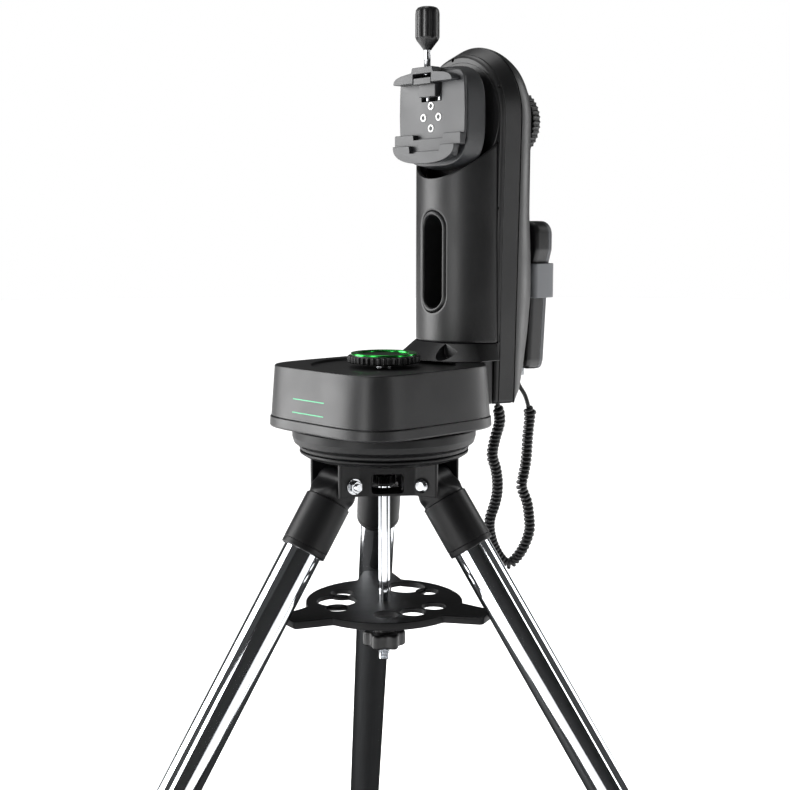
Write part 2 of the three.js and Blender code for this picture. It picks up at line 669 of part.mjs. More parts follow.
function altitudeShaft() {
  const shaft = bar(ALTITUDE_SHAFT_RADIUS, [DRUM_RANGE[1] - 3.7, 146], 'x', [0, ALTITUDE_Z]);
  return mesh('altitude_shaft', shaft, LOOKS.steel);
}

function altitudeGear() {
  const gear = slab(toothed(29, 27.2, 24), [94, 100], 'x').translate(0, 0, ALTITUDE_Z);
  const bore = bar(ALTITUDE_SHAFT_RADIUS + 0.5, [90, 104], 'x', [0, ALTITUDE_Z]);
  return mesh('altitude_gear', cut(gear, bore), LOOKS.brass);
}

function altitudeDrive() {
  const z = ALTITUDE_Z - 35.5;
  const worm = bar(5.5, [-16, 12], 'y', [z, 97], 16);
  const gearbox = block([89.6, 104], [12, 19], [z - 9, z + 8]);
  const motor = bar(7.5, [18, 41], 'y', [z, 97], 20);
  return mesh('altitude_drive', join(worm, gearbox, motor), LOOKS.steel);
}

function altitudeKnob() {
  const hub = bar(15, [136.5, 149], 'x', [0, 0], 24);
  const grip = clutchGrip([148, 157], 'x');
  const bore = bar(ALTITUDE_SHAFT_RADIUS + GAP, [130, 146.4], 'x');
  return mesh('altitude_clutch_knob', cut(join(hub, grip), bore).translate(0, 0, ALTITUDE_Z), LOOKS.dark);
}

function controlBoard() {
  return mesh('control_board', block([108, 110], [-28, 28], [112, 222]), LOOKS.board);
}

// ---------------------------------------------------------------- saddle

function chord(radius, limit, above) {
  const angle = Math.asin(limit / radius);
  const shape = new THREE.Shape();
  if (above) shape.absarc(0, 0, radius, angle, Math.PI - angle);
  else shape.absarc(0, 0, radius, Math.PI - angle, Math.PI * 2 + angle);
  return shape;
}

function atAltitudeAxis(geometry) {
  return geometry.translate(0, 0, ALTITUDE_Z);
}

const JAW_POCKET = block([SADDLE_FACE - 5, 64], [-17, 12], [311, DOVETAIL_ROOF + 13]);

function saddleDrum() {
  const body = atAltitudeAxis(slab(squircle(42.5, 3.2, 40), DRUM_RANGE, 'x'));
  const tapering = reshaped(body, (point) => {
    const scale = 0.94 + 0.06 * ((point.x - DRUM_RANGE[0]) / (DRUM_RANGE[1] - DRUM_RANGE[0]));
    point.y *= scale;
    point.z = ALTITUDE_Z + (point.z - ALTITUDE_Z) * scale;
  });
  const neck = bar(30, [DRUM_RANGE[1] - 2, FRAME_FRONT - GAP], 'x', [0, ALTITUDE_Z], 28);
  const bore = bar(ALTITUDE_SHAFT_RADIUS + GAP, [DRUM_RANGE[1] - 4, FRAME_FRONT + 2], 'x', [0, ALTITUDE_Z]);
  return mesh('saddle_drum', cut(join(tapering, neck), bore, JAW_POCKET), LOOKS.shell);
}

function saddlePlate() {
  const outline = roundedRectangle(77, 66, 10, [-0.5, ALTITUDE_Z + 1]);
  const plate = slab(outline, [SADDLE_FACE, DRUM_RANGE[0] - GAP], 'x', 5);
  return mesh('saddle_plate', cut(plate, JAW_POCKET), LOOKS.shell);
}

function saddleLowerJaw() {
  const back = SADDLE_FACE - GAP;
  const ledge = slab(chord(JAW_RADIUS, DOVETAIL_FLOOR - ALTITUDE_Z, false), [SADDLE_FACE - 5, back], 'x', 14);
  const step = chord(JAW_RADIUS, DOVETAIL_FLOOR - 10 - ALTITUDE_Z, false);
  const lip = slab(step, [SADDLE_FACE - 10, SADDLE_FACE - 4.5], 'x', 14);
  const trim = block([0, 100], [-50, 50], [ALTITUDE_Z - JAW_RADIUS - 1, ALTITUDE_Z - JAW_RADIUS + 3]);
  return mesh('saddle_lower_jaw', cut(atAltitudeAxis(join(ledge, lip)), trim), LOOKS.shell);
}

function saddleUpperJaw() {
  const shape = chord(JAW_RADIUS, DOVETAIL_ROOF - ALTITUDE_Z, true);
  const jaw = atAltitudeAxis(slab(shape, [SADDLE_FACE - 10, SADDLE_FACE - GAP], 'x', 14));
  const notch = block([SADDLE_FACE - 12, SADDLE_FACE], [-10, 10], [DOVETAIL_ROOF - 2, 342.4]);
  const screwHole = bar(3.3, [330, 360], 'z', [CLAMP_X, 0], 16);
  return mesh('saddle_upper_jaw', cut(jaw, notch, screwHole), LOOKS.shell);
}

function slidingJaw() {
  const head = block([SADDLE_FACE - 9.5, SADDLE_FACE - 2], [-9.5, 9.5], [330, 338.6]);
  const nose = block([SADDLE_FACE - 4.5, SADDLE_FACE + 3], [-9.5, 9.5], [321.5, 334]);
  return mesh('sliding_jaw', join(head, nose), LOOKS.shell);
}

function clampScrew() {
  return mesh('clamp_screw', bar(2.8, [339, 362], 'z', [CLAMP_X, 0], 16), LOOKS.steel);
}

function clampHandle() {
  const grip = slab(toothed(10, 9, 8, 4), [366, 393.5]);
  const cone = bar(3.6, [359, 367], 'z', [0, 0], 20, 8.8);
  const socket = bar(3.1, [355, 362.3], 'z', [0, 0], 16);
  return mesh('clamp_handle', cut(join(grip, cone), socket).translate(CLAMP_X, 0, 0), LOOKS.rubber);
}

// ---------------------------------------------------------------- hand controller

function handsetBracket() {
  const [front, back] = HANDSET_RANGE;
  const cradle = block([front - 2.4, back + 2.4], [-37, 37], [153, 183]);
  const room = block([front - GAP, back + GAP], [-34.4, 34.4], [150, 190]);
  const mouth = block([back - 4, back + 5], [-27, 27], [150, 190]);
  const pad = block([front - 8, front - 2], [-12, 12], [158, 178]);
  return mesh('handset_bracket', cut(join(cut(cradle, room), cut(pad, room)), mouth, bracketSeat()), LOOKS.grey);
}

function bracketSeat() {
  return domedBack(-GAP, FRAME_BOTTOM, [6, 16, 3]);
}

function handsetOutline(inset) {
  const [top, grip, low] = [37 - inset, 33.4 - inset, 27 - inset];
  const shape = new THREE.Shape();
  shape.moveTo(-low + 6, HANDSET_BOTTOM + inset);
  shape.lineTo(low - 6, HANDSET_BOTTOM + inset);
  shape.quadraticCurveTo(low, HANDSET_BOTTOM + inset, low + 1, HANDSET_BOTTOM + 8);
  shape.lineTo(grip, 184);
  shape.quadraticCurveTo(top, 190, top, 198);
  shape.lineTo(top, HANDSET_TOP - 12);
  shape.quadraticCurveTo(top, HANDSET_TOP - inset, top - 12, HANDSET_TOP - inset);
  shape.lineTo(-top + 12, HANDSET_TOP - inset);
  shape.quadraticCurveTo(-top, HANDSET_TOP - inset, -top, HANDSET_TOP - 12);
  shape.lineTo(-top, 198);
  shape.quadraticCurveTo(-top, 190, -grip, 184);
  shape.lineTo(-low - 1, HANDSET_BOTTOM + 8);
  shape.quadraticCurveTo(-low, HANDSET_BOTTOM + inset, -low + 6, HANDSET_BOTTOM + inset);
  return shape;
}

const SCREEN = [[-26, 26], [190, 208]];
const ARROW_PAD = { z: 166, radius: 17 };
const NUMBER_PAD = [[-20, 20], [102, 144]];

function handsetBody() {
  const [front, back] = HANDSET_RANGE;
  const body = slab(handsetOutline(0), [front, back], 'x', 4);
  const screen = block([back - 3, back + 2], ...SCREEN);
  const arrows = bar(ARROW_PAD.radius + 0.5, [back - 4, back + 2], 'x', [0, ARROW_PAD.z], 20);
  const numbers = block([back - 4, back + 2], ...NUMBER_PAD.map(([a, b]) => [a - 0.5, b + 0.5]));
  const jack = block([152, 162], [-12, 0], [HANDSET_BOTTOM - 2, HANDSET_BOTTOM + 9]);
  return mesh('handset_body', cut(body, screen, arrows, numbers, jack), LOOKS.dark);
}

function handsetScreen() {
  const back = HANDSET_RANGE[1];
  const [across, up] = SCREEN.map(([a, b]) => [a + GAP, b - GAP]);
  return mesh('handset_display', block([back - 2.7, back - 0.6], across, up), LOOKS.screen);
}

function arrowKeys() {
  const back = HANDSET_RANGE[1];
  const pad = bar(ARROW_PAD.radius, [back - 2, back + 0.8], 'x', [0, ARROW_PAD.z], 20);
  const hollow = bar(6, [back - 1, back + 2], 'x', [0, ARROW_PAD.z], 16);
  return mesh('handset_arrow_keys', cut(pad, hollow), LOOKS.rubber);
}

function numberKeys() {
  const back = HANDSET_RANGE[1];
  const mat = block([back - 2, back - 1], ...NUMBER_PAD);
  const keys = [];
  for (let row = 0; row < 4; row += 1) {
    for (let column = 0; column < 3; column += 1) {
      const [y, z] = [-13.5 + column * 13.5, 107.5 + row * 10.3];
      keys.push(block([back - 1.5, back + 0.8], [y - 4.5, y + 4.5], [z - 3.4, z + 3.4]));
    }
  }
  return mesh('handset_number_keys', join(mat, ...keys), LOOKS.rubber);
}

function handsetPlug() {
  const body = block([153, 161], [-11, -1], [82.5, HANDSET_BOTTOM + 8.5]);
  const grip = block([154.5, 159.5], [-9, -3], [79, 83]);
  return mesh('handset_plug', join(body, grip), LOOKS.clear);
}

// Where the cord runs, from its socket under the arm round to the plug: a plain lead at the
// plug, and the curled stretch as one fat tube.
const COIL_ROUTE = [
  [116, -20, 59.5], [121, -18, 45], [121.5, -12, 28], [122.5, -8, 13], [128, -7.6, -1], [132, -6, -16],
  [134, -2, -31], [133.5, 4, -47.5], [135.5, 6.6, -59], [140.5, 6.8, -73.5], [147, 3.6, -87],
  [154, 0, -93.5], [160.5, -4, -88], [164.5, -9, -78], [168, -12.5, -64], [168, -12.9, -54],
  [165.5, -12, -36], [161, -9, -21], [162, -10, -11], [164, -11.5, 5], [165, -12, 25], [166, -13.4, 46],
];
const LEAD_ROUTE = [[166, -13.4, 46], [164, -12.7, 55], [162, -10.5, 64], [158, -7, 73], [157, -6, 79]];

function cordTube(route, radius, steps, sides) {
  const points = route.map(([x, y, z]) => new THREE.Vector3(x, y, z));
  const section = new THREE.Shape();
  for (let i = 0; i < sides; i += 1) {
    const angle = (i / sides) * Math.PI * 2;
    const move = i === 0 ? 'moveTo' : 'lineTo';
    section[move](radius * Math.cos(angle), radius * Math.sin(angle));
  }
  section.closePath();
  const extrudePath = new THREE.CatmullRomCurve3(points);
  return new THREE.ExtrudeGeometry(section, { steps, extrudePath, bevelEnabled: false });
}

function handsetCord() {
  const lead = cordTube(LEAD_ROUTE, CORD_RADIUS, 10, 8);
  const coil = cordTube(COIL_ROUTE, COIL_RADIUS, 46, 8);
  const exit = bar(CORD_RADIUS, [58, 66.5], 'z', [116, -20], 8);
  const plugGap = block([150, 165], [-14, 2], [79 - GAP, 90]);
  return mesh('handset_cord', cut(join(coil, lead, exit), plugGap), LOOKS.rubber);
}

// ---------------------------------------------------------------- the whole mount

function tripod() {
  const group = new THREE.Group();
  group.add(tripodHub(), centreRod(), mountNut(), spreaderTray(), trayKnob());
  LEG_AZIMUTHS.forEach((azimuth, i) => group.add(leg(i + 1, azimuth)));
  group.add(azimuthBowl(), azimuthShaft(), azimuthKnob(), azimuthRing());
  return group;
}

function head() {
  const group = new THREE.Group();
  group.rotation.z = HEAD_TURN;
  group.add(
    baseHousing(), baseCover(), azimuthGear(), azimuthDrive(), portPanel(), powerSwitch(),
    armFoot(), armFrontPanel(), handleLiner(), armFrame(), armBackShell(),
    altitudeShaft(), altitudeGear(), altitudeDrive(), altitudeKnob(), controlBoard(),
    saddleDrum(), saddlePlate(), saddleLowerJaw(), saddleUpperJaw(), slidingJaw(),
    clampScrew(), clampHandle(),
    handsetBracket(), handsetBody(), handsetScreen(), arrowKeys(), numberKeys(), handsetPlug(),
    handsetCord(),
  );
  return group;
}

const mount = new THREE.Group();
mount.add(tripod(), head());
mount.position.z = HUB_HEIGHT;
mount.updateMatrixWorld(true);

// The floor point under the middle of the mount's box becomes the origin.
const box = new THREE.Box3().setFromObject(mount, true);
mount.position.x -= (box.min.x + box.max.x) / 2;
mount.position.y -= (box.min.y + box.max.y) / 2;
mount.updateMatrixWorld(true);

export default mount;
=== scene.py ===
"""A single-arm telescope mount on a steel tripod: its finished surfaces, its light and its camera.

Shapes are given in millimetres in the axes of the sub-assembly they belong to (tripod, leg or head)
and are placed in the row frame, in metres, by that sub-assembly's place.
"""

import json
import logging
import math
from dataclasses import dataclass, field
from enum import Enum
from typing import Callable, Optional, Sequence

import bmesh
import bpy
import numpy as np
from mathutils import Matrix, Vector
from mathutils.geometry import tessellate_polygon

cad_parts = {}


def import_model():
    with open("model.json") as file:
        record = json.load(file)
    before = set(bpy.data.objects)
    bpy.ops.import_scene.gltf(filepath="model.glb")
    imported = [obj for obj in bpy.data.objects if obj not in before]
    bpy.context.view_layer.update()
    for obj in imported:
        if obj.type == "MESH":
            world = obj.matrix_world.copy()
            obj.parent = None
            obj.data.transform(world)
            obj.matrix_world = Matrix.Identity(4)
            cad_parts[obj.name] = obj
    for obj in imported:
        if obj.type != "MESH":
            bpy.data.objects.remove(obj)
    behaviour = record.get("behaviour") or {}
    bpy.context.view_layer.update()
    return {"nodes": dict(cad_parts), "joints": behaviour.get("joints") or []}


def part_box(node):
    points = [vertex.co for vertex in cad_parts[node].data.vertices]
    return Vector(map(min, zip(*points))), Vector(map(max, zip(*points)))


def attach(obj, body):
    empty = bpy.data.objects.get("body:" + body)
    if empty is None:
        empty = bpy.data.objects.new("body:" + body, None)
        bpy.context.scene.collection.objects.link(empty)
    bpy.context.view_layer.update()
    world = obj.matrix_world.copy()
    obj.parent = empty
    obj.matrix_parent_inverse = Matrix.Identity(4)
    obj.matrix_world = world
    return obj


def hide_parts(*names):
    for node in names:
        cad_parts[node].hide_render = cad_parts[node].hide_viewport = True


LOG = logging.getLogger("mount")
MM = 0.001

Grid = np.ndarray
Outline = np.ndarray


# ------------------------------------------------------------------------------------ outlines


def circle(radius: float, count: int = 48, centre: Sequence[float] = (0.0, 0.0)) -> Outline:
    """Points evenly spaced round a circle, turning to the left."""
    angle = np.arange(count) * (2 * math.pi / count)
    return np.stack([centre[0] + radius * np.cos(angle), centre[1] + radius * np.sin(angle)], axis=-1)


def squircle(half: float, exponent: float, count: int = 160) -> Outline:
    """The curve where the sum of the two coordinates' powers is the half width's power."""
    angle = np.arange(count) * (2 * math.pi / count)
    c, s = np.cos(angle), np.sin(angle)
    reach = half / (np.abs(c) ** exponent + np.abs(s) ** exponent) ** (1 / exponent)
    return np.stack([reach * c, reach * s], axis=-1)


def obround(width: float, length: float, centre: float = 0.0, count: int = 96) -> Outline:
    """A slot with round ends, upright about a height, its points evenly spaced from its lowest one."""
    radius, straight = width / 2, length - width
    quarter = radius * math.pi / 2
    along = np.linspace(0, 4 * quarter + 2 * straight, count, endpoint=False)
    side = np.array([0, quarter, quarter + straight, 3 * quarter + straight, 3 * quarter + 2 * straight])
    x = np.select(
        [along < side[1], along < side[2], along < side[3], along < side[4]],
        [
            radius * np.sin(along / radius),
            np.full(count, radius),
            radius * np.cos((along - side[2]) / radius),
            np.full(count, -radius),
        ],
        -radius * np.cos((along - side[4]) / radius),
    )
    low, high = centre - straight / 2, centre + straight / 2
    y = np.select(
        [along < side[1], along < side[2], along < side[3], along < side[4]],
        [
            low - radius * np.cos(along / radius),
            low + along - side[1],
            high + radius * np.sin((along - side[2]) / radius),
            high - (along - side[3]),
        ],
        low - radius * np.sin((along - side[4]) / radius),
    )
    return np.stack([x, y], axis=-1)


def rounded(corners: Sequence[Sequence[float]], radius: float | Sequence[float], closed: bool = False,
            steps: int = 5) -> np.ndarray:
    """Rounds the corners of a line of points.

    Each arc starts and ends at radius / tan(half the corner's angle) from the corner, or at just
    under half of the shorter side where that is less.

    Args:
        corners: the points, in two or three dimensions.
        radius: one radius, or one for each corner.
        closed: whether the last point joins the first.
        steps: how many chords make an arc.

    Returns:
        The points of the rounded line.
    """
    points = np.asarray(corners, float)
    count = len(points)
    radii = np.broadcast_to(np.asarray(radius, float), count)
    turn = np.linspace(0, 1, steps + 1)[:, None]
    pieces = []
    for i, here in enumerate(points):
        ends = not closed and i in (0, count - 1)
        first, second = points[i - 1] - here, points[(i + 1) % count] - here
        lengths = np.linalg.norm(first), np.linalg.norm(second)
        first, second = first / max(lengths[0], 1e-9), second / max(lengths[1], 1e-9)
        half = 0.5 * math.acos(float(np.clip(first @ second, -1, 1)))
        if ends or radii[i] <= 0 or half > 1.56 or half < 0.02:
            pieces.append(here[None])
            continue
        reach = min(radii[i] / math.tan(half), 0.48 * min(lengths))
        actual = reach * math.tan(half)
        middle = (first + second) / np.linalg.norm(first + second)
        centre = here + middle * (actual / math.sin(half))
        start, end = here + first * reach - centre, here + second * reach - centre
        angle = math.pi - 2 * half
        pieces.append(centre + (np.sin((1 - turn) * angle) * start + np.sin(turn * angle) * end) / math.sin(angle))
    return np.concatenate(pieces)


def evened(outline: Outline, step: float) -> Outline:
    """Adds points along a closed outline wherever two of them are further apart than a step."""
    gaps = np.linalg.norm(np.roll(outline, -1, axis=0) - outline, axis=1)
    pieces = [
        a + (b - a) * np.linspace(0, 1, max(int(math.ceil(gap / step)), 1), endpoint=False)[:, None]
        for a, b, gap in zip(outline, np.roll(outline, -1, axis=0), gaps)
    ]
    return np.concatenate(pieces)


def rectangle(width: float, height: float, radius: float, centre: Sequence[float] = (0.0, 0.0)) -> Outline:
    """A rectangle with rounded corners, turning to the left."""
    x, y = width / 2, height / 2
    corners = np.array([[x, -y], [x, y], [-x, y], [-x, -y]]) + np.asarray(centre)
    return rounded(corners, radius, closed=True)


def wavy(radius: float, depth: float, lobes: int, count: int, sharpness: float = 1.0) -> Outline:
    """A round outline whose radius falls by depth between its lobes, as a raised cosine."""
    angle = np.arange(count) * (2 * math.pi / count)
    dip = (0.5 - 0.5 * np.cos(lobes * angle)) ** sharpness
    reach = radius - depth * dip
    return np.stack([reach * np.cos(angle), reach * np.sin(angle)], axis=-1)


def offset(outline: Outline, distance: float | np.ndarray) -> Outline:
    """Moves a closed outline into its material: each point goes along the mean of its sides' normals."""
    side = np.roll(outline, -1, axis=0) - outline
    side = side / np.maximum(np.linalg.norm(side, axis=1, keepdims=True), 1e-9)
    normal = np.stack([side[:, 1], -side[:, 0]], axis=-1)
    before = np.roll(normal, 1, axis=0)
    spread = 1 + np.sum(before * normal, axis=1, keepdims=True)
    miter = (before + normal) / np.maximum(spread, 0.35)
    return outline - miter * distance


def edge_profile(low: float, high: float, rounding: float, steps: int = 4) -> np.ndarray:
    """The (inset, height) line of a wall with rounded top and bottom edges."""
    turn = np.linspace(0, math.pi / 2, steps + 1)
    inset = rounding * (1 - np.sin(turn))
    rise = rounding * (1 - np.cos(turn))
    bottom = np.stack([inset, low + rise], axis=-1)
    top = np.stack([inset[::-1], high - rise[::-1]], axis=-1)
    return np.concatenate([bottom, top])


# ------------------------------------------------------------------------------------ surfaces


class Axis(Enum):
    """The direction a shape is pushed or turned along, as the shift of its columns."""

    Z = 0
    X = 1
    Y = 2


def along(points: np.ndarray, axis: Axis) -> np.ndarray:
    """Turns points whose third coordinate is the axis so that they lie along that axis."""
    return np.roll(points, axis.value, axis=-1)


def turned(profile: Sequence[Sequence[float]], count: int = 96) -> Grid:
    """Turns a line of (radius, height) points: each row is one point's circle."""
    line = np.asarray(profile, float)
    angle = np.arange(count) * (2 * math.pi / count)
    radius, height = line[:, :1], line[:, 1:]
    return np.stack(
        [radius * np.cos(angle), radius * np.sin(angle), np.broadcast_to(height, (len(line), count))], axis=-1
    )


def carried(outline: Outline, profile: np.ndarray) -> Grid:
    """Carries an outline up a line of (inset, height) points: each row is the outline moved in by inset."""
    rows = [np.column_stack([offset(outline, inset), np.full(len(outline), height)]) for inset, height in profile]
    return np.stack(rows)


def moved(points: np.ndarray, x: float = 0.0, y: float = 0.0, z: float = 0.0) -> np.ndarray:
    """The points shifted by a step in millimetres."""
    return points + np.array([x, y, z])


def spun(points: np.ndarray, angle: float) -> np.ndarray:
    """The points turned about the upright axis."""
    c, s = math.cos(angle), math.sin(angle)
    return points @ np.array([[c, s, 0], [-s, c, 0], [0, 0, 1]])


@dataclass
class Skin:
    """Closed skins gathered into one mesh, in millimetres and in a sub-assembly's own axes."""

    points: list[np.ndarray] = field(default_factory=list)
    faces: list[list[int]] = field(default_factory=list)
    count: int = 0

    def _take(self, points: np.ndarray) -> np.ndarray:
        """Keeps some points and returns their numbers."""
        flat = points.reshape(-1, 3)
        numbers = np.arange(len(flat)) + self.count
        self.points.append(flat)
        self.count += len(flat)
        return numbers.reshape(points.shape[:-1])

    def grid(self, rows: Grid, closed: bool = False, capped: bool = True) -> "Skin":
        """Joins rows of points, each row a ring.

        Args:
            rows: points by row and by place round the row.
            closed: whether the last row joins the first, as in a hollow ring.
            capped: whether the first and last rows are closed with a face.

        Returns:
            This skin.
        """
        numbers = self._take(rows)
        upper = numbers if closed else numbers[:-1]
        lower = np.roll(numbers, -1, axis=0) if closed else numbers[1:]
        quads = np.stack([upper, np.roll(upper, -1, axis=1), np.roll(lower, -1, axis=1), lower], axis=-1)
        self.faces.extend(quads.reshape(-1, 4).tolist())
        if capped and not closed:
            self.faces.append(numbers[0][::-1].tolist())
            self.faces.append(numbers[-1].tolist())
        return self

    def sheet(self, rows: Grid) -> "Skin":
        """Joins rows of points as an open patch whose rims meet other patches."""
        numbers = self._take(rows)
        quads = np.stack([numbers[:-1, :-1], numbers[:-1, 1:], numbers[1:, 1:], numbers[1:, :-1]], axis=-1)
        self.faces.extend(quads.reshape(-1, 4).tolist())
        return self

    def plate(self, loops: Sequence[Outline], low: float, high: float, rounding: float,
              axis: Axis = Axis.Z, place: Callable[[np.ndarray], np.ndarray] = lambda p: p) -> "Skin":
        """A flat plate with holes and rounded edges.

        Args:
            loops: the outline, turning to the left, and then its holes, turning to the right.
            low: where the plate starts along the axis.
            high: where it ends.
            rounding: radius of all its edges.
            axis: the direction of its thickness.
            place: a last move of its points.

        Returns:
            This skin.
        """
        profile = edge_profile(low, high, rounding)
        rings = []
        for loop in loops:
            walls = carried(loop, profile)
            numbers = self._take(place(along(walls, axis)))
            quads = np.stack(
                [numbers[:-1], np.roll(numbers[:-1], -1, axis=1), np.roll(numbers[1:], -1, axis=1), numbers[1:]],
                axis=-1,
            )
            self.faces.extend(quads.reshape(-1, 4).tolist())
            rings.append((walls, numbers))
        for row in (0, -1):
            flat = [[Vector((p[0], p[1], 0.0)) for p in walls[row]] for walls, _ in rings]
            numbers = np.concatenate([n[row] for _, n in rings])
            self.faces.extend([[int(numbers[i]) for i in face] for face in tessellate_polygon(flat)])
        return self

    def block(self, x: Sequence[float], y: Sequence[float], z: Sequence[float], rounding: float) -> "Skin":
        """A box with rounded edges, upright edges a little rounder than the rest."""
        outline = rectangle(x[1] - x[0], y[1] - y[0], rounding * 1.4, ((x[0] + x[1]) / 2, (y[0] + y[1]) / 2))
        return self.grid(carried(outline, edge_profile(z[0], z[1], rounding)))


def hole(outline: Outline) -> Outline:
    """An outline turned the other way, as a hole in a plate needs."""
    return outline[::-1]


# ------------------------------------------------------------------------------------ finishes


def linear(hex_colour: str) -> tuple[float, float, float, float]:
    """An sRGB hex colour as linear red, green, blue and full alpha."""
    values = [int(hex_colour[i:i + 2], 16) / 255 for i in (1, 3, 5)]
    light = [v / 12.92 if v <= 0.04045 else ((v + 0.055) / 1.055) ** 2.4 for v in values]
    return light[0], light[1], light[2], 1.0


def add_node(tree: bpy.types.NodeTree, kind: str, settings: Optional[dict] = None,
             links: Optional[dict] = None) -> bpy.types.Node:
    """Adds a node with its settings and links.

    Args:
        tree: the node tree.
        kind: the node's type name.
        settings: values of its properties or of its inputs, by name.
        links: the output sockets that feed its inputs, by input name or number.

    Returns:
        The node.
    """
    node = tree.nodes.new(kind)
    for name, value in (settings or {}).items():
        if isinstance(name, str) and hasattr(node, name):
            setattr(node, name, value)
        else:
            node.inputs[name].default_value = value
    for name, socket in (links or {}).items():
        tree.links.new(socket, node.inputs[name])
    return node


class Texture(Enum):
    """How a surface was made, which sets the fine pattern on it."""

    ERODED = "moulded against a spark-eroded tool"
    COATED = "powder coated over a casting"
    POLISHED = "ground and polished before plating"
    TURNED = "turned on a lathe"
    PLAIN = "moulded against a polished tool"


@dataclass(frozen=True)
class Finish:
    """A material, how its surface was made, and what the eye gets from that.

    grain_mm is the spacing of its fine pattern, drawn about twice as coarse as the real one so
    that it shows, and relief_mm is that pattern's height. patch_mm is the size of its broad
    unevenness, which moves roughness by spread and colour towards worn.
    """

    name: str
    colour: str
    worn: str
    roughness: float
    texture: Texture
    spread: float = 0.05
    metallic: float = 0.0
    ior: float = 1.5
    grain_mm: float = 0.8
    relief_mm: float = 0.02
    patch_mm: float = 40.0
    coat: float = 0.0
    transmission: float = 0.0
    specular: float = 0.5

    def material(self) -> bpy.types.Material:
        """The finish as a node material, made once."""
        made = bpy.data.materials.get(self.name)
        if made:
            return made
        made = bpy.data.materials.new(self.name)
        made.use_nodes = True
        tree = made.node_tree
        tree.nodes.clear()
        place = add_node(tree, "ShaderNodeTexCoord").outputs["Object"]
        patches = self._patches(tree, place)
        shader = add_node(
            tree,
            "ShaderNodeBsdfPrincipled",
            {"Metallic": self.metallic},
            {"Base Color": self._colour(tree, patches), "Roughness": self._roughness(tree, patches)},
        )
        if self.metallic < 0.5:
            shader.inputs["IOR"].default_value = self.ior
            shader.inputs["Specular IOR Level"].default_value = self.specular
        if self.coat:
            shader.inputs["Coat Weight"].default_value = self.coat
            shader.inputs["Coat Roughness"].default_value = 0.08
        if self.transmission:
            shader.inputs["Transmission Weight"].default_value = self.transmission
        relief = self._relief(tree, place)
        tree.links.new(relief, shader.inputs["Normal"])
        add_node(tree, "ShaderNodeOutputMaterial", None, {"Surface": shader.outputs["BSDF"]})
        return made

    def _patches(self, tree: bpy.types.NodeTree, place: bpy.types.NodeSocket) -> bpy.types.NodeSocket:
        """Broad unevenness from 0 to 1, as handling and moulding leave it."""
        noise = add_node(
            tree,
            "ShaderNodeTexNoise",
            {"Scale": 1 / (self.patch_mm * MM), "Detail": 4.0, "Roughness": 0.55},
            {"Vector": place},
        )
        return noise.outputs["Fac"]

    def _colour(self, tree: bpy.types.NodeTree, patches: bpy.types.NodeSocket) -> bpy.types.NodeSocket:
        """The main colour, moved towards the worn one where the patches are strong."""
        mix = add_node(tree, "ShaderNodeMix", {"data_type": "RGBA"}, {"Factor": patches})
        mix.inputs[6].default_value = linear(self.colour)
        mix.inputs[7].default_value = linear(self.worn)
        return mix.outputs[2]

    def _roughness(self, tree: bpy.types.NodeTree, patches: bpy.types.NodeSocket) -> bpy.types.NodeSocket:
        """Roughness, higher and lower by spread with the patches."""
        ramp = add_node(
            tree,
            "ShaderNodeMapRange",
            {
                "From Min": 0.3,
                "From Max": 0.7,
                "To Min": max(self.roughness - self.spread, 0.02),
                "To Max": self.roughness + self.spread,
            },
            {"Value": patches},
        )
        return ramp.outputs["Result"]

    def _relief(self, tree: bpy.types.NodeTree, place: bpy.types.NodeSocket) -> bpy.types.NodeSocket:
        """The fine pattern's bump: pits for an eroded tool, soft waves for a coat, lines for turning."""
        scale = 1 / (self.grain_mm * MM)
        if self.texture is Texture.ERODED:
            cells = add_node(tree, "ShaderNodeTexVoronoi", {"feature": "SMOOTH_F1", "Scale": scale}, {"Vector": place})
            height = cells.outputs["Distance"]
        elif self.texture is Texture.TURNED:
            flat = add_node(tree, "ShaderNodeMapping", {"Scale": (1.0, 1.0, 60.0)}, {"Vector": place})
            rings = add_node(
                tree, "ShaderNodeTexNoise", {"Scale": scale / 60, "Detail": 2.0}, {"Vector": flat.outputs["Vector"]}
            )
            height = rings.outputs["Fac"]
        else:
            detail = 6.0 if self.texture is Texture.COATED else 1.5
            waves = add_node(tree, "ShaderNodeTexNoise", {"Scale": scale, "Detail": detail}, {"Vector": place})
            height = waves.outputs["Fac"]
        bump = add_node(tree, "ShaderNodeBump", {"Strength": 0.6, "Distance": self.relief_mm * MM}, {"Height": height})
        return bump.outputs["Normal"]


# ABS shells: black, moulded with a fine matt grain that spreads highlights into soft grey sheens.
ABS_SHELL = Finish("abs_black_spark_eroded", "#0f0f10", "#141415", 0.4, Texture.ERODED, relief_mm=0.05,
                   specular=0.4)
# Die-cast zinc brackets with satin powder coat: slight orange peel.
POWDER_COAT = Finish("zinc_casting_powder_coat", "#09090a", "#101011", 0.42, Texture.COATED, grain_mm=1.6,
                     relief_mm=0.06, specular=0.22)
# Painted aluminium saddle: a drier, greyer satin than the shells.
SADDLE_PAINT = Finish("aluminium_casting_satin_paint", "#1d1e20", "#242527", 0.46, Texture.COATED, grain_mm=0.9,
                      relief_mm=0.05)
# Chrome plated steel tube: a mirror with faint smudges.
CHROME = Finish("steel_tube_chrome_plated", "#dfe2e6", "#cfd2d6", 0.07, Texture.POLISHED, spread=0.025,
                metallic=1.0, grain_mm=6.0, relief_mm=0.01, patch_mm=25.0)
# Zinc plated steel screws and nuts: bright, with a lathe's faint rings.
ZINC_STEEL = Finish("steel_zinc_plated_turned", "#c6c8ca", "#aeb0b3", 0.2, Texture.TURNED, metallic=1.0,
                    grain_mm=0.5, relief_mm=0.01, patch_mm=12.0)
BRASS = Finish("brass_machined", "#b98f45", "#a37a35", 0.3, Texture.TURNED, metallic=1.0, grain_mm=0.6,
               relief_mm=0.01)
